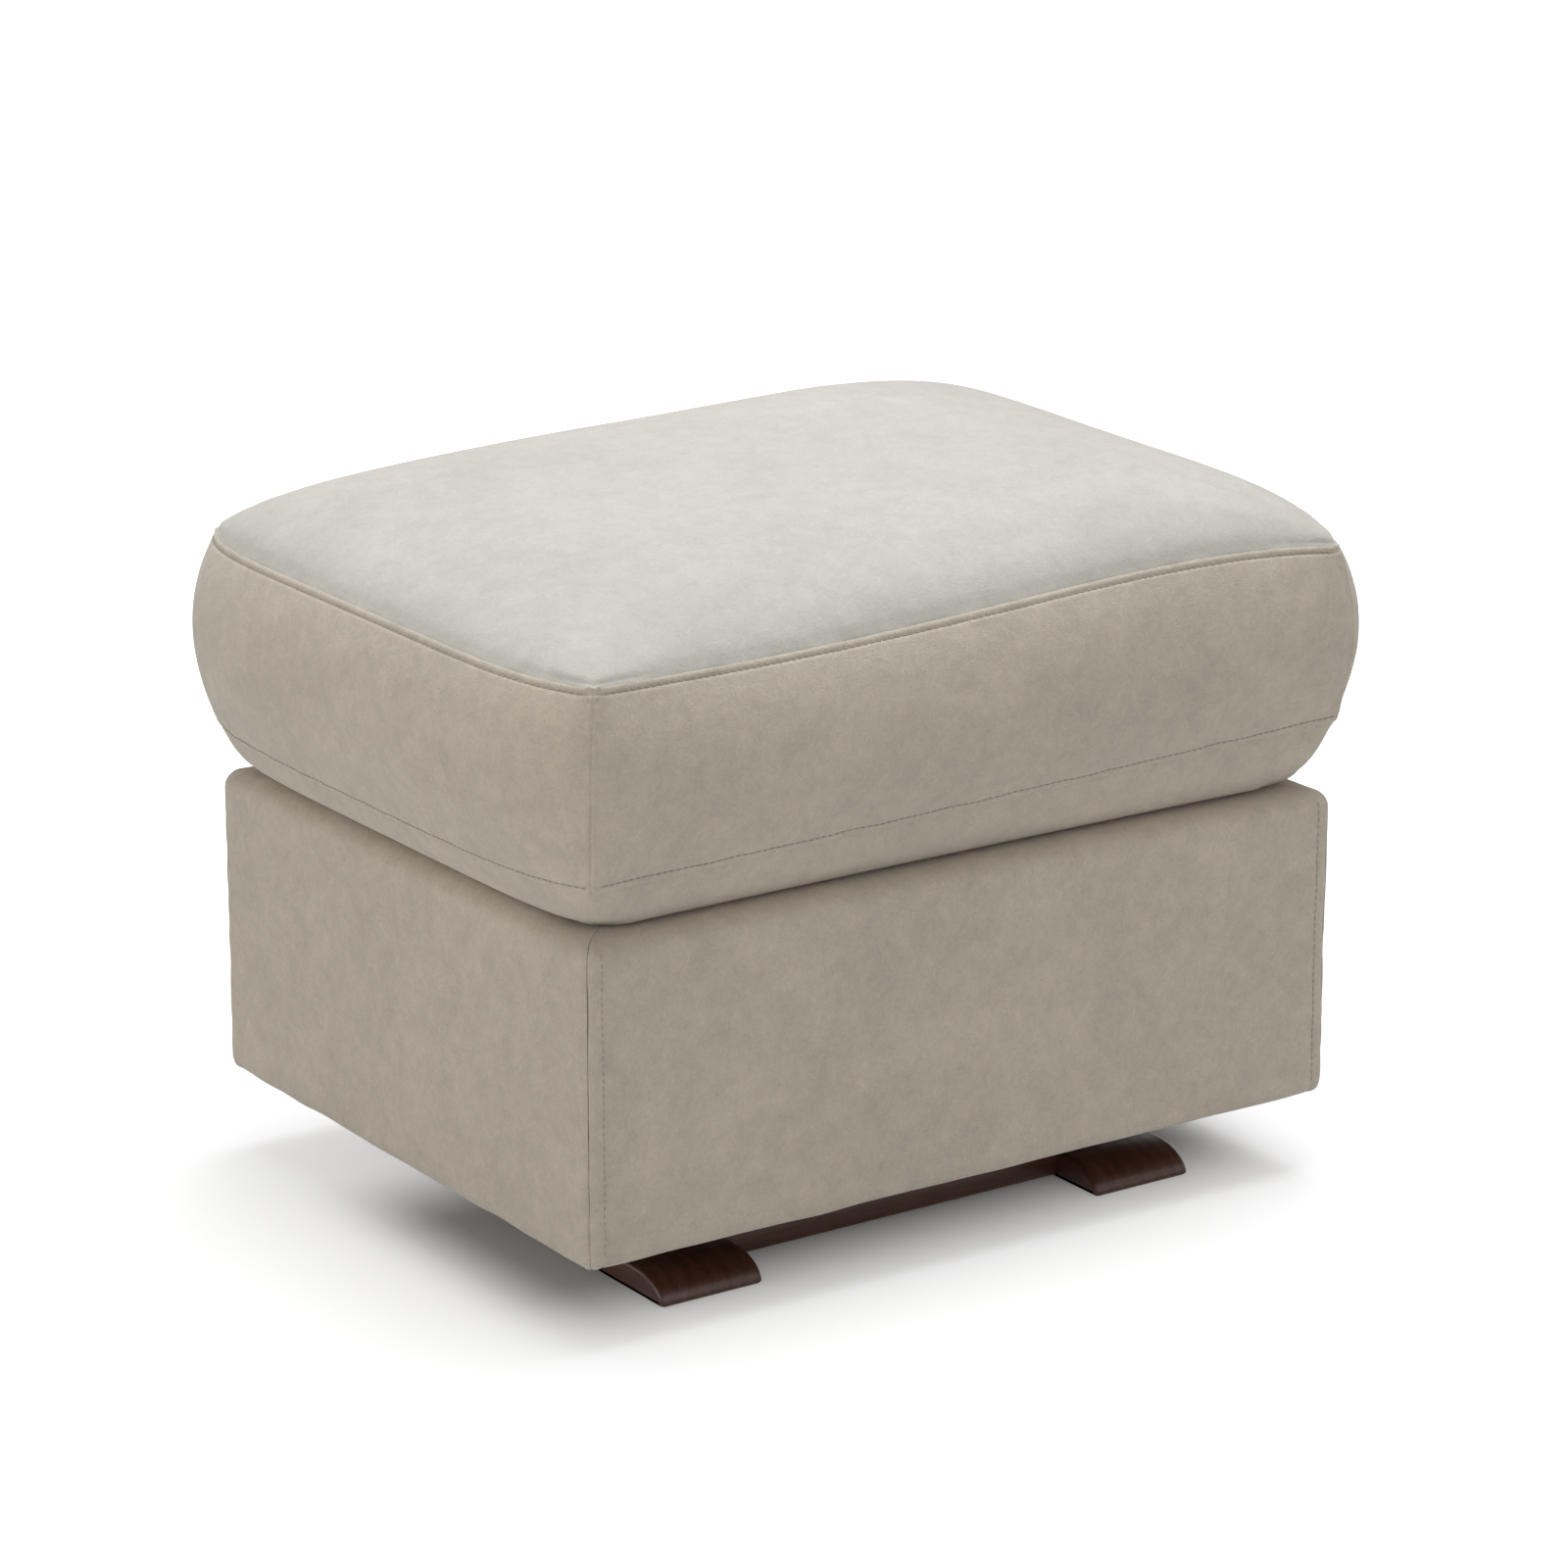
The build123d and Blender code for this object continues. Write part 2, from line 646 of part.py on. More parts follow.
def spring_clip(x):
    """The front clip of one spring: a folded strip with an eye round the end bar."""
    y = -(board_half_y + inside_half_y) / 2
    z = spring_board_top
    eye_bore = spring_wire / 2 + 0.2
    plate = block((x - clip_width / 2, x + clip_width / 2), (y - clip_length / 2, y + clip_length / 2),
                  (z, z + clip_plate))
    eye = rod_x(eye_bore + clip_eye_wall, x - clip_width / 2, x + clip_width / 2, y, z + spring_height)
    bore = rod_x(eye_bore, x - clip_width / 2 - 1, x + clip_width / 2 + 1, y, z + spring_height)
    slit = block(
        (x - clip_width, x + clip_width),
        (y, y + 10),
        (z + spring_height - 0.6, z + spring_height + 0.6),
    )
    return plate + eye - bore - slit


# ---------------------------------------------------------------- upholstery of the box
def rounded_body(inset, top, bottom, top_round, bottom_round):
    """The box shape, drawn in by inset on its four sides."""
    shape = block(
        (-half_width + inset, half_width - inset), (-half_depth + inset, half_depth - inset), (bottom, top)
    )
    shape = fillet(shape.edges().filter_by(Axis.Z), body_corner_round - inset)
    if top_round:
        shape = fillet(shape.faces().sort_by(Axis.Z)[-1].edges(), top_round)
    if bottom_round:
        shape = fillet(shape.faces().sort_by(Axis.Z)[0].edges(), bottom_round)
    return shape


def cover_shell():
    """The fabric of the box, turned in at the top and underneath, before it is cut into four panels."""
    t = cover_thickness
    outer = rounded_body(0, body_top, body_bottom, body_top_round, body_bottom_round)
    inner = rounded_body(t, body_top - t, body_bottom + t, body_top_round - t, body_bottom_round - t)
    top_hole = block(
        (-half_width + top_turn_in, half_width - top_turn_in),
        (-half_depth + top_turn_in, half_depth - top_turn_in),
        (body_top - 10, body_top + 10),
    )
    bottom_hole = block(
        (-half_width + bottom_turn_in, half_width - bottom_turn_in),
        (-half_depth + bottom_turn_in, half_depth - bottom_turn_in),
        (body_bottom - 10, body_bottom + 10),
    )
    return outer - inner - top_hole - bottom_hole


def padding_ring():
    """The wadding round the boards, before it is cut into four pads."""
    outer = rounded_body(
        padding_offset, side_board_top, board_bottom, 0, body_bottom_round - padding_offset
    )
    boards = block(
        (-board_half_x, board_half_x), (-board_half_y, board_half_y), (board_bottom - 1, side_board_top + 1)
    )
    return outer - boards


def deck_pad():
    """The foam sheet over springs and boards."""
    shape = rounded_body(
        padding_offset, deck_pad_top, deck_pad_bottom, body_top_round - padding_offset, 0
    )
    return shape


def deck_sheet():
    """The plain cloth over the deck, inside the turned-over fabric."""
    inset = top_turn_in + layer_gap
    return block(
        (-half_width + inset, half_width - inset),
        (-half_depth + inset, half_depth - inset),
        (deck_sheet_bottom, deck_sheet_top),
    )


def cover_staples():
    """Staples that hold the turned-under fabric to the boards."""
    along_x = [body_width * n / 11 - half_width for n in range(1, 11)]
    along_y = [body_depth * n / 8 - half_depth for n in range(1, 8)]
    y = board_half_y - board_thickness / 2
    x = board_half_x - board_thickness / 2
    spots = [(place, side * y, 0) for place in along_x for side in (-1, 1)]
    spots += [(side * x, place, 90) for place in along_y for side in (-1, 1)]
    crown = Pos(0, 0, -staple_wire / 2) * Box(staple_crown, staple_wire, staple_wire)
    leg = Pos((staple_crown - staple_wire) / 2, 0, staple_leg / 2 - staple_wire / 2) * Box(
        staple_wire, staple_wire, staple_leg + staple_wire
    )
    staple = crown + leg + left_of(leg)
    return [Pos(px, py, body_bottom) * Rot(0, 0, turn) * staple for px, py, turn in spots]


# ---------------------------------------------------------------- cushion
def swell(share):
    """How far a band is blown out between its seams: nothing at both and all of it half way."""
    return sin(pi * share) ** 0.8


def crown_reach(share, flatness, steepness):
    """How far out the crown still has that share of its height: all the way at 0, and less towards 1."""
    return (1 - share ** (1 / steepness)) ** (1 / flatness)


def cushion_levels():
    """The cushion's level outlines, upwards: height, half sizes, corner radius and the bows of its sides."""
    levels = []
    for share in (0, 0.15, 0.4, 0.7, 1):
        draw = cushion_underside_round * (1 - sqrt(1 - (1 - share) ** 2))
        radius = cushion_corner_round + cushion_corner_puff * swell(share)
        height = cushion_bottom + cushion_underside_height * share
        half_x, half_y = cushion_half_x - draw, cushion_half_y - draw
        levels.append((height, half_x, half_y, radius, cushion_bow_x, -cushion_seam_draw_y))
    for step in range(1, band_steps + 1):
        puff = swell(step / band_steps)
        height = cushion_lower_seam + cushion_band_height * step / band_steps
        half_x = cushion_half_x + cushion_swell_x * puff
        half_y = cushion_half_y + cushion_swell_y * puff
        radius = cushion_corner_round + cushion_corner_puff * puff
        bow_y = cushion_swell_bow_y * puff - cushion_seam_draw_y
        levels.append((height, half_x, half_y, radius, cushion_bow_x, bow_y))
    shares = [sin(pi / 2 * step / crown_steps) for step in range(1, crown_steps)]
    for share in shares:
        height = cushion_upper_seam + cushion_crown_height * share / shares[-1]
        reach_x = crown_reach(share, crown_flatness_x, crown_steepness_x)
        half_x = (cushion_half_x + cushion_crown_overhang) * reach_x
        half_y = cushion_half_y * crown_reach(share, crown_flatness_y, crown_steepness_y)
        radius = min(cushion_crown_round, half_y * 0.45)
        levels.append((height, half_x, half_y, radius, cushion_crown_bow_x, cushion_crown_bow_y))
    return levels


def cushion_section(height, half_x, half_y, radius, bow_x, bow_y):
    """One level outline of the cushion: four bowed sides with rounded corners."""
    corners = [(-half_x, -half_y), (half_x, -half_y), (half_x, half_y), (-half_x, half_y)]
    out_x, out_y = half_x + bow_x, half_y + bow_y
    middles = [(0, -out_y), (out_x, 0), (0, out_y), (-out_x, 0)]
    sides = [ThreePointArc(corners[n], middles[n], corners[(n + 1) % 4]) for n in range(4)]
    outline = make_face(sides)
    return Pos(0, 0, height) * fillet(outline.vertices(), radius)


def cushion_form(inset):
    """The cushion's shape, drawn in by inset all round."""
    middle = (cushion_top + cushion_bottom) / 2
    squeeze = 1 - 2 * inset / (cushion_top - cushion_bottom)
    sections = [
        cushion_section(
            middle + (height - middle) * squeeze, half_x - inset, half_y - inset, radius - inset, bow_x, bow_y
        )
        for height, half_x, half_y, radius, bow_x, bow_y in cushion_levels()
    ]
    return loft(sections, ruled=True)


def foam_core():
    """The foam block inside the cushion."""
    core = block((-foam_half_x, foam_half_x), (-foam_half_y, foam_half_y), (foam_bottom, foam_top))
    core = fillet(core.edges().filter_by(Axis.Z), foam_corner_round)
    return fillet(core.faces().sort_by(Axis.Z)[0].edges() + core.faces().sort_by(Axis.Z)[-1].edges(),
                  foam_edge_round)


def slab(low, high):
    """Everything between two heights."""
    reach = cushion_half_x + 2 * cut_margin
    return block((-reach, reach), (-reach, reach), (low, high))


def touch_strips(low):
    """Two strips of hook or loop tape across the deck."""
    half = touch_strip_length / 2
    return [
        block(
            (-half, half),
            (y - touch_strip_width / 2, y + touch_strip_width / 2),
            (low, low + touch_strip_thickness),
        )
        for y in (-touch_strip_place, touch_strip_place)
    ]


# ---------------------------------------------------------------- write the base
right_runner = runner()
save("right_runner", right_runner)
save("left_runner", left_of(right_runner))
front_stretcher = stretcher()
save("front_stretcher", front_stretcher)
save("rear_stretcher", rear_of(front_stretcher))
right_dowels = dowels()
save("stretcher_dowels", *right_dowels, *[left_of(d) for d in right_dowels])
right_bracket = bracket()
save("right_glide_bracket", right_bracket)
save("left_glide_bracket", left_of(right_bracket))
right_screws = bracket_screws()
save("bracket_screws", *right_screws, *[left_of(s) for s in right_screws])
right_stops = travel_stops()
save("travel_stops", *right_stops, *[left_of(s) for s in right_stops])

# ---------------------------------------------------------------- write the arms, bearings and pivots
PIVOTS = {"front": -pivot_spacing / 2, "rear": pivot_spacing / 2}
for end, y in PIVOTS.items():
    bar = arm(y)
    rings = [outer_ring(y, z) for z in (upper_pivot_height, lower_pivot_height)]
    rolling = [b for z in (upper_pivot_height, lower_pivot_height) for b in balls(y, z)]
    save(f"{end}_right_arm", bar)
    save(f"{end}_left_arm", left_of(bar))
    save(f"{end}_right_bearings", *rings, *rolling)
    save(f"{end}_left_bearings", *[left_of(s) for s in rings + rolling])


def at_all_pivots(make):
    """The pieces of one kind at the four pivots."""
    pieces = []
    for y in PIVOTS.values():
        made = make(y)
        for piece in made if isinstance(made, list) else [made]:
            pieces += [piece, left_of(piece)]
    return pieces


save("upper_inner_rings", *at_all_pivots(lambda y: inner_ring(y, upper_pivot_height)))
save("lower_inner_rings", *at_all_pivots(lambda y: inner_ring(y, lower_pivot_height)))
save("upper_pivot_bolts", *at_all_pivots(upper_bolt))
save("upper_pivot_washers", *at_all_pivots(upper_washers))
save("upper_lock_nuts", *at_all_pivots(upper_nut))
save(
    "upper_spacers",
    *at_all_pivots(
        lambda y: ring_x(
            spacer_radius, bolt_hole_radius, bracket_face, arm_inner_face, y, upper_pivot_height
        )
    ),
)
save("lower_pivot_bolts", *at_all_pivots(lower_bolt))
save("lower_pivot_washers", *at_all_pivots(lower_washers))
save("lower_lock_nuts", *at_all_pivots(lower_nut))
save(
    "lower_spacers",
    *at_all_pivots(
        lambda y: ring_x(
            spacer_radius, bolt_hole_radius, arm_outer_face, rail_inner_face, y, lower_pivot_height
        )
    ),
)

# ---------------------------------------------------------------- write the box frame and deck
staples = cover_staples()
save("cover_staples", *staples)
near_front = [s for s in staples if s.center().Y < -inside_half_y]
near_right = [s for s in staples if s.center().X > inside_half_x]
front_board = end_board() - near_front
save("front_board", front_board)
save("rear_board", rear_of(front_board))
right_board = side_board() - near_right
save("right_board", right_board)
save("left_board", left_of(right_board))
save("corner_blocks", *corner_blocks())
right_rail = glide_rail()
save("right_glide_rail", right_rail)
save("left_glide_rail", left_of(right_rail))
rail_screws = []
for x, z in rail_screw_places():
    screw = rail_screw_shape(x, z, 0)
    rail_screws += [screw, left_of(screw), rear_of(screw), left_of(rear_of(screw))]
save("rail_screws", *rail_screws)
spring_places = [(n - (spring_count - 1) / 2) * spring_spacing for n in range(spring_count)]
middle_spring = deck_spring(0)
save("deck_springs", *[Pos(x, 0, 0) * middle_spring for x in spring_places])
front_clips = [spring_clip(x) for x in spring_places]
save("spring_clips", *front_clips, *[rear_of(c) for c in front_clips])
save("deck_pad", deck_pad())
save("deck_sheet", deck_sheet())

# ---------------------------------------------------------------- write the upholstery of the box
shell = cover_shell() - staples
ring = padding_ring()
box_corner = (half_width, half_depth)
save_four_sides("{}_cover", shell, box_corner, body_bottom - cut_margin, body_top + cut_margin)
save_four_sides("{}_padding", ring, box_corner, body_bottom - cut_margin, body_top + cut_margin)

# ---------------------------------------------------------------- write the cushion
outer_form = cushion_form(0)
fabric = outer_form - cushion_form(cover_thickness)
save("cushion_top_panel", fabric & slab(cushion_upper_seam, cushion_top + cut_margin))
save("cushion_underside", fabric & slab(cushion_bottom - cut_margin, cushion_lower_seam))
band = fabric & slab(cushion_lower_seam, cushion_upper_seam)
cushion_corner = (cushion_half_x - cushion_seam_shift, cushion_half_y)
save_four_sides("cushion_{}_band", band, cushion_corner, body_top, cushion_top)
foam = foam_core()
save("cushion_foam", foam)
foam_room = block(
    (-foam_half_x - layer_gap, foam_half_x + layer_gap),
    (-foam_half_y - layer_gap, foam_half_y + layer_gap),
    (foam_bottom - layer_gap, foam_top + layer_gap),
)
foam_room = fillet(foam_room.edges().filter_by(Axis.Z), foam_corner_round + layer_gap)
foam_room = fillet(
    foam_room.faces().sort_by(Axis.Z)[0].edges() + foam_room.faces().sort_by(Axis.Z)[-1].edges(),
    foam_edge_round + layer_gap,
)
wrap = cushion_form(cover_thickness + layer_gap) - foam_room
wrap_joint = (foam_top + foam_bottom) / 2
upper_part, lower_part = slab(wrap_joint + layer_gap, cushion_top), slab(cushion_bottom, wrap_joint)
save("cushion_wrap", wrap & upper_part, wrap & lower_part)
loop_low = deck_sheet_top
hook_low = cushion_bottom - touch_strip_thickness
save("deck_loop_strips", *touch_strips(loop_low))
save("cushion_hook_strips", *touch_strips(hook_low))
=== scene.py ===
# %% [markdown]
# # A glider ottoman
# An upholstered box hangs on four swing arms above a low wooden base, and a plump boxed cushion lies on it.
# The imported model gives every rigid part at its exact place, so it is loaded first and used as the frame
# for everything that is made here. All lengths are in metres, and a few lists say millimetres.

import math

import bpy
import numpy as np
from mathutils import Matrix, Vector
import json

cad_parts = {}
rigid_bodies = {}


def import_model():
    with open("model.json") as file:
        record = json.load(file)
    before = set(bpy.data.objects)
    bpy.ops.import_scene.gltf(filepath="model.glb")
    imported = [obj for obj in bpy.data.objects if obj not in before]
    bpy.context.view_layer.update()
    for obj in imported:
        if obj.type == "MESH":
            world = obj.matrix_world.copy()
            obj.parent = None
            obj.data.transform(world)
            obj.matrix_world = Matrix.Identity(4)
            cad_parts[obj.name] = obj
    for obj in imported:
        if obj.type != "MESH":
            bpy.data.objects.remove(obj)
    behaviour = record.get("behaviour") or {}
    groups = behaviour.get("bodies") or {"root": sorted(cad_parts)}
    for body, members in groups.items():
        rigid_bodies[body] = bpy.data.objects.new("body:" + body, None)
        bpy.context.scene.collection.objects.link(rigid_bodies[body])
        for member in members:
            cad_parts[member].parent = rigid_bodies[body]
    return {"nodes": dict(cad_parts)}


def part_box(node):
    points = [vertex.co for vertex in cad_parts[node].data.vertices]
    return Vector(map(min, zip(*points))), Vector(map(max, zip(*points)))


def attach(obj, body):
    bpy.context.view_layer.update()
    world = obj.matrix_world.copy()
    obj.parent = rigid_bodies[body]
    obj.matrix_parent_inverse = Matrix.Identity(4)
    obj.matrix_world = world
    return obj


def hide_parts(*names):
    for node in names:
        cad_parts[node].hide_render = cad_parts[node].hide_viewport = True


MM = 0.001


def box_mm(node):
    """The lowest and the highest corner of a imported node, in millimetres."""
    return [np.array(corner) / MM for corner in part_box(node)]


for left_over in list(bpy.data.objects):
    bpy.data.objects.remove(left_over, do_unlink=True)
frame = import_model()
bpy.ops.object.select_all(action="DESELECT")
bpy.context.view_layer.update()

# %% [markdown]
# ## The camera
# The view is a little above the ottoman, from beyond its front left corner, with a long lens, so the
# upright edges stay nearly parallel. A direction that points from the object back to the camera turns it
# the right way.

# %% Camera
CAMERA_PLACE = (-1.9137, -2.8292, 1.2976)
CAMERA_TURN, CAMERA_RISE = math.radians(-34.196), math.radians(16.909)
CAMERA_LENS, SENSOR_WIDTH = 125.6, 36.0  # in millimetres
camera_data = bpy.data.cameras.new("camera")
camera_data.lens, camera_data.sensor_width = CAMERA_LENS, SENSOR_WIDTH
camera_data.clip_start, camera_data.clip_end = 0.1, 60.0
camera = bpy.data.objects.new("camera", camera_data)
bpy.context.scene.collection.objects.link(camera)
camera_back = Vector((math.sin(CAMERA_TURN) * math.cos(CAMERA_RISE),
                      -math.cos(CAMERA_TURN) * math.cos(CAMERA_RISE), math.sin(CAMERA_RISE)))
camera.location = CAMERA_PLACE
camera.rotation_euler = camera_back.to_track_quat("Z", "Y").to_euler()
bpy.context.scene.camera = camera
bpy.context.scene.view_settings.view_transform = "Standard"
print("camera looks along", tuple(round(c, 3) for c in -camera_back))

# %% [markdown]
# ## Materials are small node graphs
# A helper adds one node, sets its own choices and joins its sockets, so that each finish below reads as a
# list of what the real surface has: a colour that varies, a roughness and a fine relief.

# %% A helper for nodes


def add_node(tree, kind, choices=None, **sockets):
    """Adds a node; a socket gets a number, a colour or another node's output."""
    node = tree.nodes.new("ShaderNode" + kind)
    for name, value in (choices or {}).items():
        setattr(node, name, value)
    for name, value in sockets.items():
        key = int(name[1:]) if name[0] == "i" and name[1:].isdigit() else name.replace("_", " ")
        if isinstance(value, bpy.types.NodeSocket):
            tree.links.new(value, node.inputs[key])
        else:
            node.inputs[key].default_value = value
    return node


def new_finish(name, roughness, **sockets):
    """A new material; the constant numbers sit on the shader itself."""
    material = bpy.data.materials.new(name)
    material.use_nodes = True
    shader = material.node_tree.nodes["Principled BSDF"]
    shader.inputs["Roughness"].default_value = roughness
    for key, value in sockets.items():
        shader.inputs[key.replace("_", " ")].default_value = value
    return material, material.node_tree, shader


def speckle(tree, place, scale, detail=2.0, rough=0.5, distortion=0.0):
    """A noise pattern's value at the object's own coordinates."""
    return add_node(tree, "TexNoise", Vector=place, Scale=scale, Detail=detail, Roughness=rough,
                    Distortion=distortion).outputs["Fac"]


def ramp(tree, value, low, high, dark, light):
    """A colour between two, as a value goes from low to high."""
    node = add_node(tree, "ValToRGB", Fac=value)
    first, last = node.color_ramp.elements
    first.position, first.color = low, (*dark, 1)
    last.position, last.color = high, (*light, 1)
    return node.outputs["Color"]


def blend_colours(tree, share, first, second, how="MIX"):
    """Two colours mixed, multiplied or otherwise put together."""
    node = add_node(tree, "MixRGB", {"blend_type": how}, Fac=share, Color1=first, Color2=second)
    return node.outputs["Color"]


def tinted(tree, colour, tint):
    """A colour multiplied by another one."""
    return blend_colours(tree, 1.0, colour, tint, "MULTIPLY")


def mapped(tree, value, how="LINEAR", **limits):
    """A value carried from one range to another; a limit that isn't named stays 0 or 1."""
    return add_node(tree, "MapRange", {"interpolation_type": how}, Value=value, **limits).outputs["Result"]


def combine(tree, how, first, second):
    """Two values put together: added, multiplied or the larger one."""
    return add_node(tree, "Math", {"operation": how}, i0=first, i1=second).outputs[0]


def join(tree, shader, **outputs):
    """Joins outputs of other nodes to the shader's sockets."""
    for key, output in outputs.items():
        tree.links.new(output, shader.inputs[key.replace("_", " ")])


def relief(tree, shader, *layers):
    """Bumps of several sizes on one shader: each layer is a value and its depth in millimetres."""
    normal = None
    for value, depth in layers:
        bump = add_node(tree, "Bump", Height=value, Distance=depth * MM, Strength=1.0)
        if normal is not None:
            tree.links.new(normal, bump.inputs["Normal"])
        normal = bump.outputs["Normal"]
    join(tree, shader, Normal=normal)


def own_place(tree):
    """The object's own coordinates, which a rigid ride never slides."""
    return add_node(tree, "TexCoord").outputs["Object"]


print("helpers for finishes are ready")

# %% [markdown]
# ## Floor and light
# The ottoman stands on a plain white floor under one large soft lamp from above, with weaker ones from the
# left and from the front, as in a product studio. The room itself gives even, plain light. Where the floor
# is seen directly it glows a little, so that it comes out white, and it glows more further away, because the
# lamps do not reach that far. It hardly glows in a box round the core of the shadow under the ottoman: that
# dark patch is a painted shadow, laid over the real one that the lamps cast.

# %% Light levels
FLOOR_RADIUS, FLOOR_GLOW, CORE_GLOW, ROOM_LEVEL = 14.0, 0.50, 0.02, 0.38
LAMPLIGHT_ENDS = (0.4, 2.2)  # distances from the middle between which the floor's own glow takes over
# middle and edges of the painted shadow, where the floor's glow fades out
SHADOW_CORE = (0.0, -0.05, 0.0)
SHADOW_EDGES = ((0.232, 0.315), (0.06, 0.19))  # between which the core fades, along X and along Y
LAMPS = {  # place, height it looks at, width and height, watts, colour
    "overhead_lamp": ((0.26, 0.12, 2.3), 0.4, (1.8, 1.8), 44.0, (0.93, 0.97, 1.0)),
    "left_lamp": ((-2.4, 0.1, 0.75), 0.3, (1.3, 1.3), 10.8, (1.0, 0.985, 0.95)),
    "front_lamp": ((0.3, -2.6, 1.1), 0.3, (1.6, 1.4), 6.5, (1.0, 0.98, 0.94)),
}
print("floor glow", FLOOR_GLOW, "room", ROOM_LEVEL)

# %% Floor


def seen_directly(tree):
    """1 for what is seen straight, in a reflection or through something clear, and 0 for scattered light."""
    rays = add_node(tree, "LightPath").outputs
    seen = combine(tree, "MAXIMUM", rays["Is Camera Ray"], rays["Is Glossy Ray"])
    return combine(tree, "MAXIMUM", seen, rays["Is Transmission Ray"])


bpy.ops.object.select_all(action="DESELECT")
bpy.ops.mesh.primitive_circle_add(vertices=96, radius=FLOOR_RADIUS, fill_type="NGON", location=(0, 0, 0))
floor = bpy.context.object
floor.name = "floor"
floor_paint, floor_tree, floor_shader = new_finish(
    "floor_paint", 0.9, Specular_IOR_Level=0.1, Base_Color=(0.72, 0.72, 0.72, 1)
)
floor_place = own_place(floor_tree)
from_middle = add_node(floor_tree, "VectorMath", {"operation": "LENGTH"}, i0=floor_place).outputs["Value"]
far_glow = mapped(floor_tree, from_middle, From_Min=LAMPLIGHT_ENDS[0], From_Max=LAMPLIGHT_ENDS[1],
                  To_Max=1.0 - FLOOR_GLOW)
# painted shadow: the floor's glow falls to CORE_GLOW in a box round SHADOW_CORE
from_core = add_node(floor_tree, "VectorMath", {"operation": "SUBTRACT"}, i0=floor_place, i1=SHADOW_CORE)
from_core = add_node(floor_tree, "VectorMath", {"operation": "ABSOLUTE"}, i0=from_core.outputs["Vector"])
apart = add_node(floor_tree, "SeparateXYZ", Vector=from_core.outputs["Vector"]).outputs
shade = [
    mapped(floor_tree, apart[axis], "SMOOTHSTEP", From_Min=inner, From_Max=outer, To_Min=1.0, To_Max=0.0)
    for axis, (inner, outer) in enumerate(SHADOW_EDGES)
]
near_glow = mapped(floor_tree, combine(floor_tree, "MULTIPLY", *shade), To_Min=FLOOR_GLOW, To_Max=CORE_GLOW)
glow = combine(floor_tree, "ADD", near_glow, far_glow)
strength = combine(floor_tree, "MULTIPLY", seen_directly(floor_tree), glow)
floor_light = add_node(floor_tree, "Emission", Strength=strength)
floor_sum = add_node(floor_tree, "AddShader", i0=floor_shader.outputs[0], i1=floor_light.outputs[0])
floor_tree.links.new(floor_sum.outputs[0], floor_tree.nodes["Material Output"].inputs["Surface"])
floor.data.materials.append(floor_paint)
print("floor radius", FLOOR_RADIUS, "m")

# %% Room light
world = bpy.data.worlds.new("room")
bpy.context.scene.world = world
world.use_nodes = True
room = world.node_tree
room.nodes.clear()
level = mapped(room, seen_directly(room), To_Min=ROOM_LEVEL, To_Max=1.0)
backdrop = add_node(room, "Background", Color=(1, 1, 1, 1), Strength=level)
add_node(room, "OutputWorld", Surface=backdrop.outputs[0])
print("room light", ROOM_LEVEL)

# %% Lamps
for name, (place, aim, size, watts, colour) in LAMPS.items():
    data = bpy.data.lights.new(name, "AREA")
    data.shape, data.size, data.size_y = "RECTANGLE", *size
    data.energy, data.color = watts, colour
    lamp = bpy.data.objects.new(name, data)
    bpy.context.scene.collection.objects.link(lamp)
    lamp.location = place
    lamp.rotation_euler = (Vector(place) - Vector((0.0, 0.0, aim))).to_track_quat("Z", "Y").to_euler()
    print(name, watts, "W")

# %% [markdown]
# ## The suede of the cushion and the box
# The cover is a brushed microfibre in pale greige. Its nap makes soft clouds where a hand has stroked it,
# its grain is as fine as sand, and it brightens where it is seen at a low angle. Noise of three sizes gives
# the clouds, the mottling and the grain, and the sheen of the shader gives the pale bloom.

# %% Suede and thread
SUEDE = (0.562, 0.499, 0.410)
TOP_SUEDE_PAINTED_SHEEN = (0.545, 0.514, 0.460)  # the same suede made cooler for the top panel: painted sheen, for the cool light that falls on the top


def make_suede(name, tone, nap):
    """Brushed microfibre in one tone; nap says how strongly its pile shows."""
    material, tree, shader = new_finish(
        name, 0.92, Specular_IOR_Level=0.2, Sheen_Weight=0.32, Sheen_Roughness=0.4,
        Sheen_Tint=(1.0, 0.99, 0.97, 1),
    )
    place = own_place(tree)
    clouds = speckle(tree, place, 9.0, 3.0, 0.6, 0.8)
    mottling = speckle(tree, place, 64.0, 5.0, 0.9, 0.3)
    grain = speckle(tree, place, 620.0, 3.0, 0.8)
    colour = ramp(tree, clouds, 0.32, 0.68, [c * 0.955 for c in tone], [c * 1.035 for c in tone])
    for value, low, darker, lighter in ((mottling, 0.25, 0.19, 0.16), (grain, 0.2, 0.14, 0.11)):
        shades = ramp(tree, value, low, 1 - low, [1 - darker * nap] * 3, [1 + lighter * nap] * 3)
        colour = tinted(tree, colour, shades)
    join(tree, shader, Base_Color=colour)
    relief(tree, shader, (mottling, 1.2 * nap), (grain, 0.5 * nap))
    return material


suede = make_suede("suede", SUEDE, 0.87)
# the top panel's suede is a cooler copy of the same cloth: painted sheen
top_suede_painted_sheen = make_suede("suede_top_painted_sheen", TOP_SUEDE_PAINTED_SHEEN, 0.6)
thread, thread_tree, thread_shader = new_finish("thread", 0.6, Sheen_Weight=0.2)
ply = add_node(thread_tree, "TexWave", {"bands_direction": "DIAGONAL"}, Vector=own_place(thread_tree),
               Scale=900.0, Distortion=1.0).outputs["Fac"]
thread_colour = ramp(thread_tree, ply, 0.2, 0.8, (0.35, 0.31, 0.25), (0.46, 0.41, 0.34))
join(thread_tree, thread_shader, Base_Color=thread_colour)
relief(thread_tree, thread_shader, (ply, 0.08))
print("suede tone", SUEDE)

# %% [markdown]
# ## The woods
# The base is a hardwood stained nearly black brown and lacquered, with its grain along each board. The
# boards of the box are plywood, whose edges show thin layers, and the rails, blocks and dowels are plain
# wood.

# %% Woods


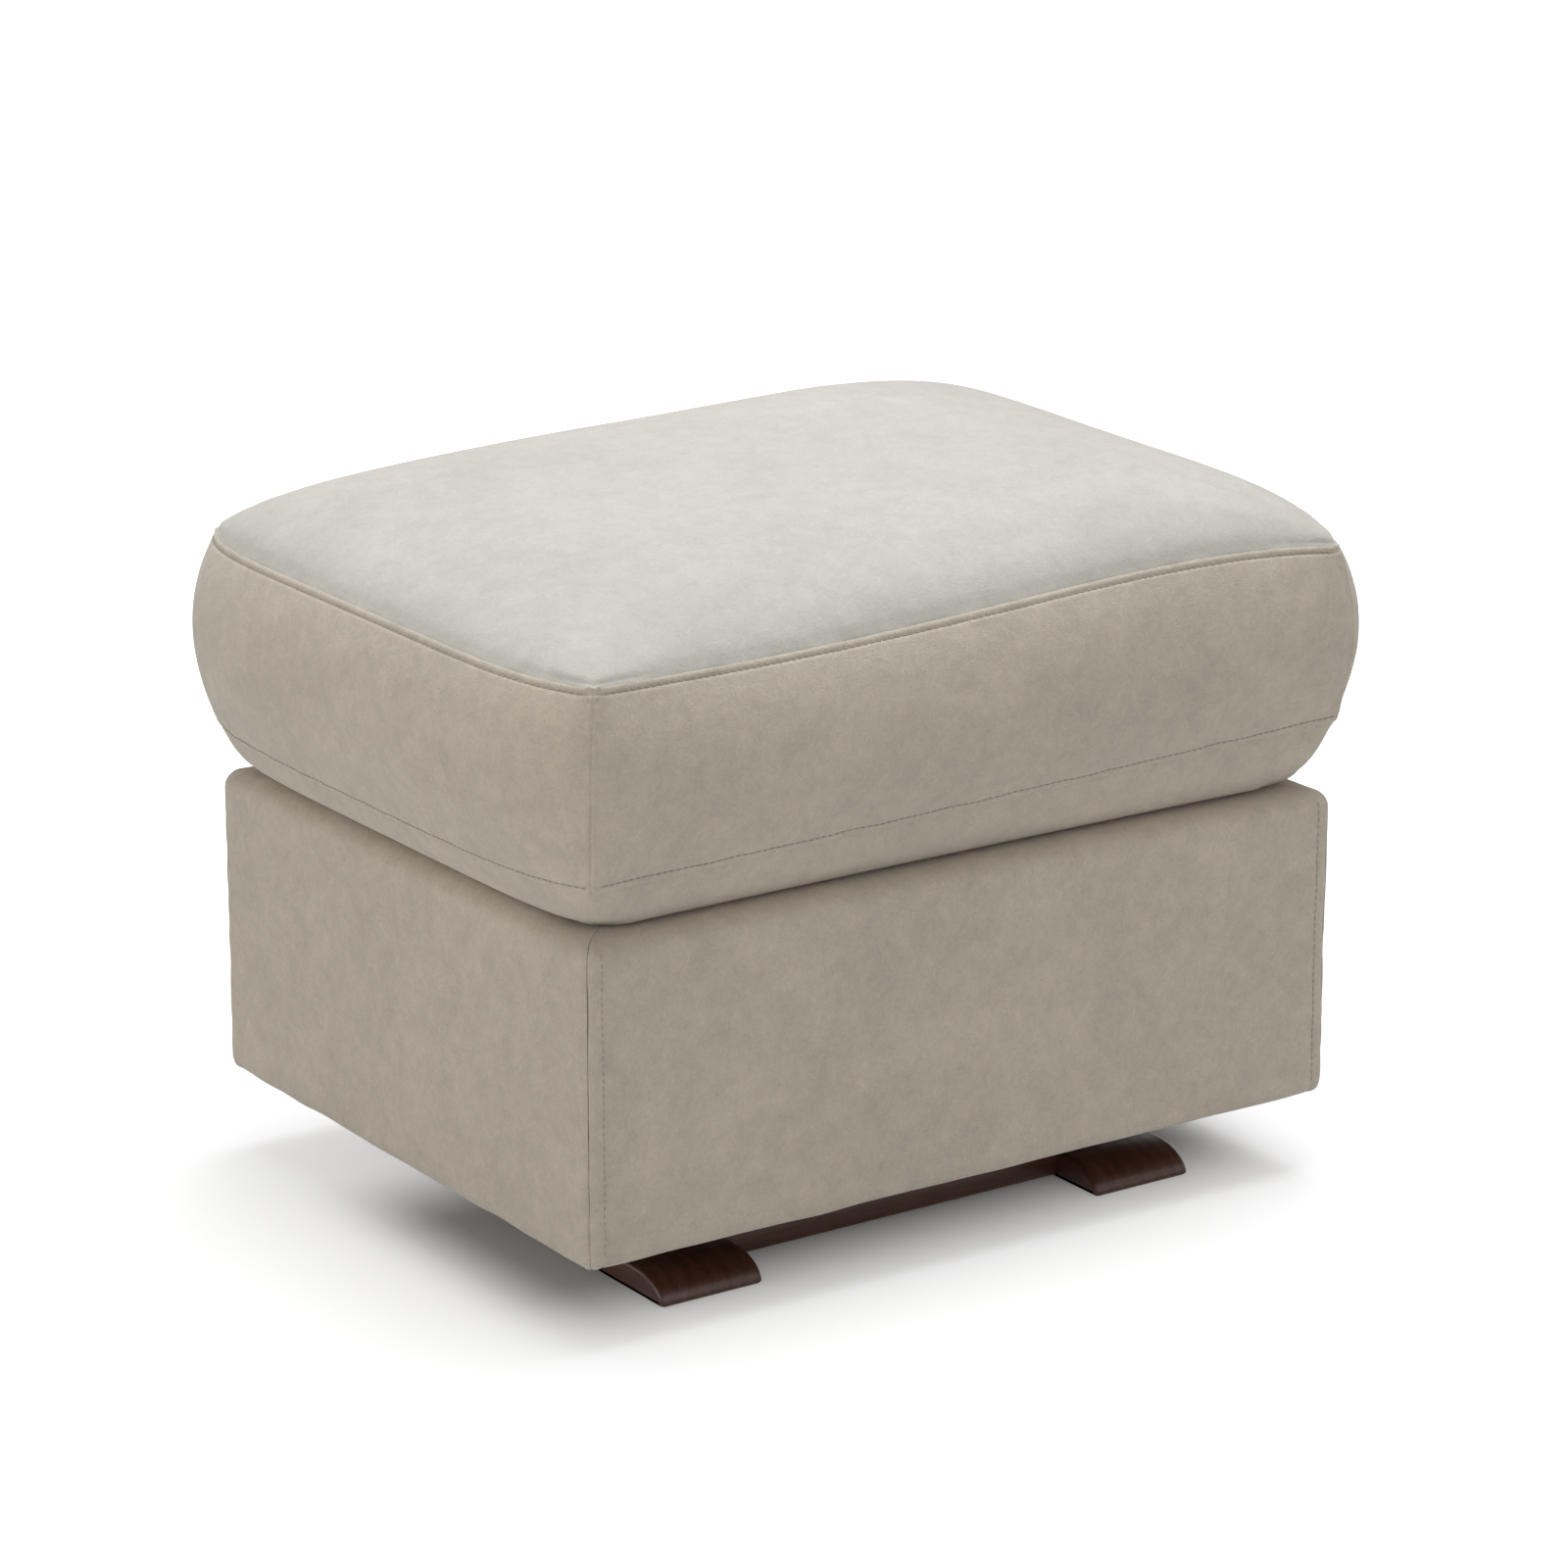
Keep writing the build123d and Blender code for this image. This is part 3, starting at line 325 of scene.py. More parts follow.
def make_wood(name, stretch, dark, light, roughness, depth, **sockets):
    """Wood with its grain along one axis: stretch gives the pattern's scale along X, Y and Z."""
    material, tree, shader = new_finish(name, roughness, **sockets)
    place = own_place(tree)
    along = add_node(tree, "Mapping", Vector=place, Scale=stretch).outputs["Vector"]
    growth = add_node(tree, "TexWave", {"wave_type": "RINGS", "rings_direction": "Y"}, Vector=along,
                      Scale=26.0, Distortion=5.0, Detail=3.0, Detail_Scale=1.6).outputs["Fac"]
    pores = speckle(tree, along, 420.0, 3.0, 0.65)
    colour = ramp(tree, growth, 0.1, 0.9, dark, light)
    streaks = ramp(tree, pores, 0.35, 0.62, (0.72, 0.70, 0.68), (1.06, 1.06, 1.06))
    broad = ramp(tree, speckle(tree, place, 11.0), 0.3, 0.7, (0.9, 0.9, 0.9), (1.08, 1.08, 1.08))
    colour = tinted(tree, tinted(tree, colour, streaks), broad)
    polish = mapped(tree, pores, To_Min=roughness * 0.85, To_Max=roughness * 1.2)
    join(tree, shader, Base_Color=colour, Roughness=polish)
    relief(tree, shader, (growth, depth * 0.5), (pores, depth))
    return material


ALONG_Y, ALONG_X = (1.0, 0.07, 1.0), (0.07, 1.0, 1.0)
STAINED = dict(dark=(0.078, 0.029, 0.018), light=(0.102, 0.039, 0.025), roughness=0.34, depth=0.09,
               Specular_IOR_Level=0.34, Coat_Weight=0.18, Coat_Roughness=0.2)
runner_wood = make_wood("stained_wood_y", ALONG_Y, **STAINED)
stretcher_wood = make_wood("stained_wood_x", ALONG_X, **STAINED)
pine_wood = make_wood("pine", ALONG_Y, (0.50, 0.33, 0.17), (0.66, 0.47, 0.27), 0.62, 0.14)
beech_wood = make_wood("beech", ALONG_X, (0.50, 0.31, 0.17), (0.60, 0.41, 0.25), 0.55, 0.08)

plywood, ply_tree, ply_shader = new_finish("plywood", 0.68)
layers, fibres = (
    add_node(ply_tree, "Mapping", Vector=own_place(ply_tree), Scale=scale).outputs["Vector"]
    for scale in ((1, 1, 14), (0.1, 0.1, 1))
)
veneer = add_node(ply_tree, "TexWave", {"bands_direction": "X"}, Vector=layers, Scale=3.0, Distortion=7.0,
                  Detail=3.0).outputs["Fac"]
fibres = speckle(ply_tree, fibres, 520.0, 3.0)
ply_tone = ramp(ply_tree, veneer, 0.15, 0.85, (0.47, 0.31, 0.17), (0.60, 0.42, 0.25))
ply_streak = ramp(ply_tree, fibres, 0.3, 0.7, (0.85, 0.83, 0.8), (1.05, 1.05, 1.05))
join(ply_tree, ply_shader, Base_Color=tinted(ply_tree, ply_tone, ply_streak))
relief(ply_tree, ply_shader, (fibres, 0.12))
print("woods", [m.name for m in (runner_wood, stretcher_wood, pine_wood, beech_wood, plywood)])

# %% [markdown]
# ## Metal and rubber
# The brackets and arms are steel with a black powder coat, which has a fine orange-peel skin. Bolts, nuts,
# washers, clips and staples are zinc plated, with a faint yellow and blue tinge, the bearings are ground
# steel, and the springs keep the dark skin of drawn wire.

# %% Metals and rubber


def make_metal(name, dark, light, roughness, scale, depth, metallic=1.0, **sockets):
    """Metal or paint with patches of two tones and a fine skin."""
    material, tree, shader = new_finish(name, roughness, Metallic=metallic, **sockets)
    place = own_place(tree)
    patches = speckle(tree, place, scale, 4.0, 0.6, 0.3)
    shine = mapped(tree, patches, To_Min=roughness * 0.75, To_Max=roughness * 1.3)
    join(tree, shader, Base_Color=ramp(tree, patches, 0.3, 0.7, dark, light), Roughness=shine)
    relief(tree, shader, (speckle(tree, place, scale * 14), depth))
    return material


black_coat = make_metal("black_coat", (0.012, 0.012, 0.013), (0.020, 0.020, 0.021), 0.42, 60.0, 0.05, 0.0,
                        Coat_Weight=0.15, Coat_Roughness=0.3)
zinc = make_metal("zinc_plate", (0.52, 0.52, 0.50), (0.66, 0.67, 0.69), 0.34, 130.0, 0.02)
ground_steel = make_metal("ground_steel", (0.58, 0.58, 0.59), (0.70, 0.70, 0.71), 0.2, 220.0, 0.006)
spring_wire = make_metal("drawn_wire", (0.10, 0.10, 0.11), (0.20, 0.20, 0.21), 0.4, 90.0, 0.02)
rubber = make_metal("rubber", (0.014, 0.014, 0.015), (0.024, 0.024, 0.025), 0.78, 90.0, 0.06, 0.0)
print("metals", [m.name for m in (black_coat, zinc, ground_steel, spring_wire, rubber)])

# %% [markdown]
# ## Foam, wadding, deck cloth and tape
# These lie inside or underneath. Foam has open cells, wadding is a cloud of fine fibres, the deck cloth is
# a plain weave, and the tape that holds the cushion has a pile of tiny loops.

# %% Soft fillings and cloths


def make_filling(name, dark, light, cell, depth, kind="Voronoi", **sockets):
    """A soft material with cells or fibres of one size."""
    material, tree, shader = new_finish(name, 0.95, **sockets)
    place = own_place(tree)
    if kind == "Voronoi":
        value = add_node(tree, "TexVoronoi", Vector=place, Scale=cell).outputs["Distance"]
    else:
        value = speckle(tree, place, cell, 6.0, 0.75, 1.4)
    mixed = blend_colours(tree, 0.35, value, speckle(tree, place, cell / 30, 3.0, 0.6))
    join(tree, shader, Base_Color=ramp(tree, mixed, 0.15, 0.75, dark, light))
    relief(tree, shader, (value, depth))
    return material


foam = make_filling("foam", (0.62, 0.54, 0.34), (0.82, 0.76, 0.56), 620.0, 0.5)
wadding = make_filling("wadding", (0.74, 0.74, 0.72), (0.88, 0.88, 0.86), 240.0, 1.4, "Noise",
                       Sheen_Weight=0.3)
loop_tape = make_filling("loop_tape", (0.045, 0.042, 0.037), (0.13, 0.12, 0.105), 900.0, 0.7)

deck_weave, weave_tree, weave_shader = new_finish("deck_weave", 0.85, Sheen_Weight=0.15)
weave_place = own_place(weave_tree)
threads = [
    add_node(weave_tree, "TexWave", {"bands_direction": axis, "wave_profile": "SIN"}, Vector=weave_place,
             Scale=210.0, Distortion=0.6, Detail=2.0).outputs["Fac"]
    for axis in ("X", "Y")
]
weave_height = blend_colours(weave_tree, 1.0, threads[0], threads[1], "LIGHTEN")
weave_colour = ramp(weave_tree, weave_height, 0.45, 1.0, (0.14, 0.13, 0.115), (0.26, 0.245, 0.22))
join(weave_tree, weave_shader, Base_Color=weave_colour)
relief(weave_tree, weave_shader, (weave_height, 0.25))
print("fillings and cloths are ready")

# %% [markdown]
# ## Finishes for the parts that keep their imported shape
# The steel, the boards and the rails are right as they are, so each only gets its finish. The record's
# material slot is not stored on a node, so a list of names says which finish goes where.

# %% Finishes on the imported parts
ARMS = [f"{end}_{side}" for end in ("front", "rear") for side in ("left", "right")]
FINISH_OF = {
    black_coat: ["left_glide_bracket", "right_glide_bracket"] + [f"{arm}_arm" for arm in ARMS],
    ground_steel: ["upper_inner_rings", "lower_inner_rings"] + [f"{arm}_bearings" for arm in ARMS],
    zinc: ["bracket_screws", "upper_pivot_bolts", "upper_spacers", "upper_pivot_washers", "upper_lock_nuts",
           "lower_pivot_bolts", "lower_spacers", "lower_pivot_washers", "lower_lock_nuts", "rail_screws",
           "spring_clips", "cover_staples"],
    spring_wire: ["deck_springs"],
    rubber: ["travel_stops"],
    plywood: ["front_board", "rear_board", "left_board", "right_board"],
    pine_wood: ["left_glide_rail", "right_glide_rail", "corner_blocks"],
    beech_wood: ["stretcher_dowels"],
}
for finish, names in FINISH_OF.items():
    for name in names:
        node = frame["nodes"][name]
        node.data.materials.clear()
        node.data.materials.append(finish)
        for face in node.data.polygons:
            face.material_index = 0
print("finished", sum(len(names) for names in FINISH_OF.values()), "packed parts")

# %% [markdown]
# ## The runners of the base
# Each runner is a flat board whose ends are rounded over like the nose of a ski. An elliptical round is a
# circular bevel that has been stretched, so a shorter board gets a round bevel on its upper ends first, and
# is then stretched to its length. A small bevel eases the other edges, and both keep the faces tidy.

# %% Tools for boards


def tidy(piece, body, slot, material, *nodes):
    """Gives the finished piece its material, hangs it on the body it rides on and hides the imported nodes
    it takes the place of; slot is not used.
    """
    piece.data.materials.clear()
    piece.data.materials.append(material)
    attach(piece, body)
    if nodes:
        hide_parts(*nodes)
    return piece


def start_block(name, low, high):
    """A block between two corners, added as a primitive, in edit mode."""
    bpy.ops.object.select_all(action="DESELECT")
    middle = [(a + b) / 2 for a, b in zip(low, high)]
    bpy.ops.mesh.primitive_cube_add(size=1, location=middle, scale=[b - a for a, b in zip(low, high)])
    piece = bpy.context.object
    piece.name = piece.data.name = name
    bpy.ops.object.transform_apply(location=True, rotation=True, scale=True)
    bpy.ops.object.mode_set(mode="EDIT")
    return piece


def pick_edges(piece, test):
    """Selects the edges whose middle passes the test, in edit mode."""
    bpy.ops.mesh.select_mode(type="EDGE")
    bpy.ops.mesh.select_all(action="DESELECT")
    bpy.ops.object.mode_set(mode="OBJECT")
    points = piece.data.vertices
    for edge in piece.data.edges:
        a, b = (points[n].co for n in edge.vertices)
        edge.select = test((a + b) / 2, b - a)
    bpy.ops.object.mode_set(mode="EDIT")


def ease_edges(piece, width, segments=3, angle=35):
    """Rounds every sharp edge a little and shades the piece smooth between them."""
    bevel = piece.modifiers.new("eased", "BEVEL")
    bevel.width, bevel.segments = width, segments
    bevel.limit_method, bevel.angle_limit = "ANGLE", math.radians(angle)
    bevel.use_clamp_overlap = False
    bpy.context.view_layer.objects.active = piece
    bpy.ops.object.modifier_apply(modifier=bevel.name)
    piece.select_set(True)
    bpy.ops.object.shade_smooth_by_angle(angle=math.radians(angle))
    piece.select_set(False)


print("board tools are ready")

# %% Runners
NOSE_LENGTH, NOSE_HEIGHT, EASED_EDGE = 0.033, 0.017, 0.0036
NOSE_STRETCH = NOSE_LENGTH / NOSE_HEIGHT
for side in ("left", "right"):
    low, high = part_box(f"{side}_runner")
    short = [Vector((corner.x, corner.y / NOSE_STRETCH, corner.z)) for corner in (low, high)]
    runner = start_block(f"{side}_base_runner", *short)
    pick_edges(runner, lambda middle, along: middle.z > high.z - 0.001 and abs(along.x) > 0.01)
    bpy.ops.mesh.bevel(offset=NOSE_HEIGHT, segments=12, profile=0.5, affect="EDGES")
    bpy.ops.mesh.select_all(action="SELECT")
    bpy.ops.transform.resize(value=(1, NOSE_STRETCH, 1), center_override=(0, 0, 0))
    bpy.ops.object.mode_set(mode="OBJECT")
    ease_edges(runner, EASED_EDGE, 5, 30)
    tidy(runner, "base", "dark_wood", runner_wood, f"{side}_runner")
    print(runner.name, len(runner.data.vertices), "points")

# %% [markdown]
# ## The stretchers
# Two flat boards join the runners. A long bevel along the outer lower edge and small ones elsewhere are
# what a router leaves on such a board.

# %% Stretchers
for end in ("front", "rear"):
    low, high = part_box(f"{end}_stretcher")
    stretcher = start_block(f"{end}_base_stretcher", low, high)
    outer_y = low.y if end == "front" else high.y
    pick_edges(stretcher, lambda middle, along: abs(middle.y - outer_y) < 0.001 and abs(along.x) > 0.01)
    bpy.ops.mesh.bevel(offset=0.0022, segments=4, profile=0.5, affect="EDGES")
    bpy.ops.object.mode_set(mode="OBJECT")
    ease_edges(stretcher, 0.0007, 2)
    tidy(stretcher, "base", "dark_wood", stretcher_wood, f"{end}_stretcher")
    print(stretcher.name, len(stretcher.data.vertices), "points")

# %% [markdown]
# ## Cloth as a grid of points
# Every panel of fabric starts as a grid: one number runs along a seam and the other across the panel. Rows
# are put close together beside a seam, where the fabric rolls into its stitching, and wider apart in the
# open.

# %% Grid tools


def spaced(total, near, step):
    """Places from 0 to total: close together at both ends, then even steps."""
    near = [n for n in near if n < total / 2]
    count = max(2, int(round((total - 2 * near[-1]) / step)))
    inner = np.linspace(near[-1], total - near[-1], count + 1)
    return np.concatenate([near[:-1], inner, total - np.array(near[:-1][::-1])])


def stroke(value, places, width):
    """A smooth ridge of height 1 and that half width at one place."""
    return np.exp(-(((value - places) / width) ** 2))


def waves(along, length, seed, parts=7):
    """Gentle irregular waves along a seam, from -1 to 1, of about one length."""
    draw = np.random.default_rng(seed)
    total = np.zeros_like(along)
    for _ in range(parts):
        own, turn = length * draw.uniform(0.6, 1.7), draw.uniform(0, 2 * math.pi)
        total += np.sin(2 * math.pi * along / own + turn)
    return total / parts**0.5 / 1.4


def swells(x, y, length, seed, parts=11):
    """Gentle irregular swells over a panel, of about one length."""
    draw = np.random.default_rng(seed)
    total = np.zeros_like(x)
    for _ in range(parts):
        own, way = length * draw.uniform(0.7, 1.6), draw.uniform(0, math.pi)
        turn = draw.uniform(0, 2 * math.pi)
        total += np.sin(2 * math.pi * (x * math.cos(way) + y * math.sin(way)) / own + turn)
    return total / parts**0.5 / 1.4


def facing(points):
    """The outward direction at each point of a grid."""
    across = np.gradient(points, axis=0)
    along = np.gradient(points, axis=1)
    normal = np.cross(along, across)
    return normal / np.maximum(np.linalg.norm(normal, axis=2, keepdims=True), 1e-12)


def grid_quads(rows, columns):
    """The faces of a grid whose points run row by row."""
    corner = (np.arange(rows - 1)[:, None] * columns + np.arange(columns - 1)[None, :]).ravel()
    return np.stack([corner, corner + 1, corner + columns + 1, corner + columns], axis=1)


def mesh_piece(name, points, quads):
    """A new smooth object from points in millimetres and faces of four corners."""
    mesh = bpy.data.meshes.new(name)
    mesh.vertices.add(len(points))
    mesh.vertices.foreach_set("co", (np.asarray(points, float) * MM).ravel())
    mesh.loops.add(quads.size)
    mesh.loops.foreach_set("vertex_index", quads.ravel().astype(np.int32))
    mesh.polygons.add(len(quads))
    mesh.polygons.foreach_set("loop_start", np.arange(0, quads.size, 4, dtype=np.int32))
    mesh.polygons.foreach_set("use_smooth", np.ones(len(quads), bool))
    mesh.update(calc_edges=True)
    mesh.validate()
    piece = bpy.data.objects.new(name, mesh)
    bpy.context.scene.collection.objects.link(piece)
    return piece


def grid_piece(name, grid, turned=False):
    """A new object from a grid of points; turned makes its faces look the other way."""
    quads = grid_quads(*grid.shape[:2])
    return mesh_piece(name, grid.reshape(-1, 3), quads[:, ::-1] if turned else quads)


def read_points(mesh, what):
    """A vector for each point of a mesh: its place (co) or its normal."""
    values = np.zeros(len(mesh.vertices) * 3)
    mesh.vertices.foreach_get(what, values)
    return values.reshape(-1, 3)


def line_run(line):
    """Distance along a line of points from its first point."""
    return np.concatenate([[0], np.cumsum(np.linalg.norm(np.diff(line, axis=0), axis=1))])


def thicken(piece, thickness):
    """Gives a sheet its thickness, inwards from its face."""
    wall = piece.modifiers.new("thickness", "SOLIDIFY")
    wall.thickness, wall.offset, wall.use_even_offset = thickness * MM, -1.0, False
    bpy.context.view_layer.objects.active = piece
    bpy.ops.object.modifier_apply(modifier=wall.name)
    piece.select_set(True)
    bpy.ops.object.shade_smooth_by_angle(angle=math.radians(55))  # the cut edge stays sharp
    piece.select_set(False)
    return piece


bpy.ops.object.select_all(action="DESELECT")
print("grid tools are ready")

# %% [markdown]
# ## The form of the cushion
# The cushion is a boxed one: a top panel, four bands and an underside. Pressure from the filling rounds the
# bands outwards between their seams, most in the middle of each side and least at the corners. It raises
# the top panel in a flat-topped dome that leans a little to the right and the rear and falls steeply to its
# seams. The functions below give that form for any place on a panel. Sizes and heights are in millimetres
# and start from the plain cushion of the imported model. The photograph shows that the seams aren't quite
# level: the lower one rises towards the front right corner, so each corner has its own rise.

# %% Form of the cushion
SIDES, LONG_SIDES = ("front", "right", "rear", "left"), ("front", "rear")
side_low, side_high = box_mm("cushion_left_band")
REST_LEVEL = box_mm("cushion_underside")[0][2] + 0.1
LOWER_SEAM, UPPER_SEAM = side_low[2], side_high[2]
OUTERMOST = np.array((-side_low[0], -box_mm("cushion_front_band")[0][1]))
# half sizes at the corners of the lower and the upper seam, and then in the middle of each side
CORNER_LOW, CORNER_HIGH = OUTERMOST - (40.6, 15.0), OUTERMOST - (44.0, 15.0)
MIDDLE_LOW, MIDDLE_HIGH = OUTERMOST - (22.9, 18.9), OUTERMOST - (19.6, 22.1)
# how far the bands swell out at the corners and in the middles, and the powers that shape bows and swells
CORNER_SWELL, MIDDLE_SWELL = np.array((9.3, 10.6)), np.array((20.5, 20.0))
SEAM_BOW, SWELL_BOW, SWELL_ENDS = (6.1, 2.4), (10.3, 4.0), (0.9, 0.8)
# the crown's height, its lean along X and Y and how full its corners are, and the powers of its dome
CROWN_RISE, CROWN_TILT, CROWN_CORNERS = 48.9, (0.10, 0.125), 0.95
CROWN_X, CROWN_Y, UNDER_ROUND = (3.85, 0.55), (4.6, 0.60), (24.3, 0.88)
# the front of the upper seam isn't a plain bow: heights at places along it, from left to right
front_rise = np.polyfit([-1, -0.75, -0.3, 0.15, 0.64, 1], [-4.0, -4.5, -5.6, 2.7, 6.4, 0.8], 4)
# rise of the upper and the lower seam at the corners, counterclockwise from the front left one, and of the
# middle of each side beyond that
HIGH_CORNERS = (np.polyval(front_rise, -1.0), np.polyval(front_rise, 1.0), 3.5, -3.0)
LOW_CORNERS = (-3.6, 10.5, -3.5, -5.5)
HIGH_BOWS, LOW_BOWS = (0.0, -1.6, 1.5, 1.0), (-2.5, 0.0, 0.0, -1.9)


def seam_height(side, s, upper):
    """Height of a seam at s, from -1 to 1 counterclockwise round the cushion."""
    if upper and side == "front":
        return UPPER_SEAM + np.polyval(front_rise, s)
    number = SIDES.index(side)
    low, high = (LOWER_SEAM, LOW_CORNERS, LOW_BOWS), (UPPER_SEAM, HIGH_CORNERS, HIGH_BOWS)
    level, corners, bows = high if upper else low
    first, last = corners[number], corners[(number + 1) % 4]
    return level + first + (last - first) * (s + 1) / 2 + bows[number] * (1 - s * s)


def swell(t):
    """How far the band is blown out: 0 at both seams, 1 above its middle and steep at its top."""
    t, (rise, fall) = np.clip(t, 0, 1), SWELL_ENDS
    peak = rise / (rise + fall)
    return (t / peak) ** rise * ((1 - t) / (1 - peak)) ** fall


def band_points(side, s, t):
    """Points of a side band: s runs counterclockwise, t from the lower to the upper seam."""
    s, t = np.broadcast_arrays(s, t)
    out, near, far = swell(t), [], []
    for n in (0, 1):
        corner = CORNER_LOW[n] + (CORNER_HIGH[n] - CORNER_LOW[n]) * t
        middle = MIDDLE_LOW[n] + (MIDDLE_HIGH[n] - MIDDLE_LOW[n]) * t
        bulge = CORNER_SWELL[n] + (MIDDLE_SWELL[n] - CORNER_SWELL[n]) * (1 - np.abs(s) ** SWELL_BOW[n])
        near.append(corner + CORNER_SWELL[n] * out)
        far.append(corner + (middle - corner) * (1 - np.abs(s) ** SEAM_BOW[n]) + bulge * out)
    low, high = seam_height(side, s, False), seam_height(side, s, True)
    height = low + (high - low) * t
    if side in LONG_SIDES:
        turn = -1 if side == "front" else 1
        return np.stack([-turn * s * near[0], turn * far[1], height], axis=-1)
    turn = 1 if side == "right" else -1
    return np.stack([turn * far[0], turn * s * near[1], height], axis=-1)


def coons_height(u, v, upper):
    """The seam's height carried smoothly across the panel from its four sides."""
    front, rear = seam_height("front", u, upper), seam_height("rear", -u, upper)
    right, left = seam_height("right", v, upper), seam_height("left", -v, upper)
    a, b = (u + 1) / 2, (v + 1) / 2
    near, far = (
        seam_height(side, -way, upper) * (1 - a) + seam_height(side, way, upper) * a
        for side, way in (("front", 1.0), ("rear", -1.0))
    )
    return front * (1 - b) + rear * b + left * (1 - a) + right * a - (near * (1 - b) + far * b)


def dome(u, power, steep, ease=0.05):
    """1 in the middle, falling steeply to 0 at the seams, where ease keeps it from standing upright."""
    rest = np.clip(1 - np.abs(u) ** power, 0, 1)
    return rest * ((rest**2 + ease**2) / (1 + ease**2)) ** ((steep - 1) / 2)


def plan_place(u, v, corner, middle):
    """X and Y of a place on a panel whose four sides bow outwards."""
    x = u * (corner[0] + (middle[0] - corner[0]) * (1 - np.abs(v) ** SEAM_BOW[0]))
    y = v * (corner[1] + (middle[1] - corner[1]) * (1 - np.abs(u) ** SEAM_BOW[1]))
    return x, y


def top_points(u, v):
    """Points of the top panel for u and v from -1 to 1."""
    u, v = np.broadcast_arrays(u, v)
    x, y = plan_place(u, v, CORNER_HIGH, MIDDLE_HIGH)
    along, across = dome(u, *CROWN_X), dome(v, *CROWN_Y)
    # a plain product of the two would be pinched at the corners
    share = along * across / (1 - CROWN_CORNERS * (1 - along) * (1 - across))
    z = coons_height(u, v, True) + CROWN_RISE * (1 + CROWN_TILT[0] * u + CROWN_TILT[1] * v) * share
    return np.stack([x, y, z], axis=-1)


def under_points(u, v):
    """Points of the underside, which is flat where it lies on the box."""
    u, v = np.broadcast_arrays(u, v)
    x, y = plan_place(u, v, CORNER_LOW, MIDDLE_LOW)
    seam = coons_height(u, v, False)
    z = seam - (seam - REST_LEVEL + 2.0) * dome(u, *UNDER_ROUND) * dome(v, *UNDER_ROUND)
    return np.stack([x, y, np.maximum(z, REST_LEVEL)], axis=-1)


middle_top = top_points(np.array(0.0), np.array(0.0))
print("top of the cushion", middle_top.round(1), "mm")

# %% [markdown]
# ## Blowing up the cushion
# Real covers are sewn a little larger than they look and are pressed out by the filling, which leaves soft
# swells and small puckers. A coarse closed copy of the cushion is therefore simulated as cloth: its seams
# are pinned, it starts slightly too small and too loose, and air pressure fills it. How far each point
# moves is capped, and the wide part of the movement is taken off again, so that the fitted form stays. What
# is left fades out towards the seams. It is kept as a table for each panel, and the fine panels follow it.

# %% Coarse cushion for the simulation
CELLS_X, CELLS_Y, CELLS_BAND = 56, 44, 14


def place_of(steps):
    """The place on a panel for a step number: a mix of an even and a sine spacing."""
    return 0.3 * steps + 0.7 * np.sin(math.pi / 2 * steps)


coarse_x, coarse_y = (place_of(np.linspace(-1, 1, count + 1)) for count in (CELLS_X, CELLS_Y))
coarse_t = np.linspace(0, 1, CELLS_BAND + 1)
coarse = {
    "top": top_points(coarse_x[None, :], coarse_y[:, None]),
    "under": under_points(coarse_x[None, :], coarse_y[:, None])[:, ::-1],
}
for side in SIDES:
    coarse_s = coarse_x if side in LONG_SIDES else coarse_y
    coarse[side] = band_points(side, coarse_s[None, :], coarse_t[:, None])
start, all_points, all_quads = {}, [], []
for name, grid in coarse.items():
    start[name] = sum(len(p) for p in all_points)
    all_points.append(grid.reshape(-1, 3))
    all_quads.append(grid_quads(*grid.shape[:2]) + start[name])
all_points, all_quads = np.concatenate(all_points), np.concatenate(all_quads)
_, first, welded = np.unique(np.round(all_points, 3), axis=0, return_index=True, return_inverse=True)
welded = welded.ravel()
closed_points, closed_quads = all_points[first], welded[all_quads]
print("coarse cushion", len(closed_points), "points", len(closed_quads), "faces")

# %% Simulation
CLOTH_FRAMES, CLOTH_CAP = 18, 4.5  # the longest movement is in millimetres
CORNER_PIN, START_INSET, AIR_PRESSURE, SLACK = 0.6, 2.6, 3.0, 0.035


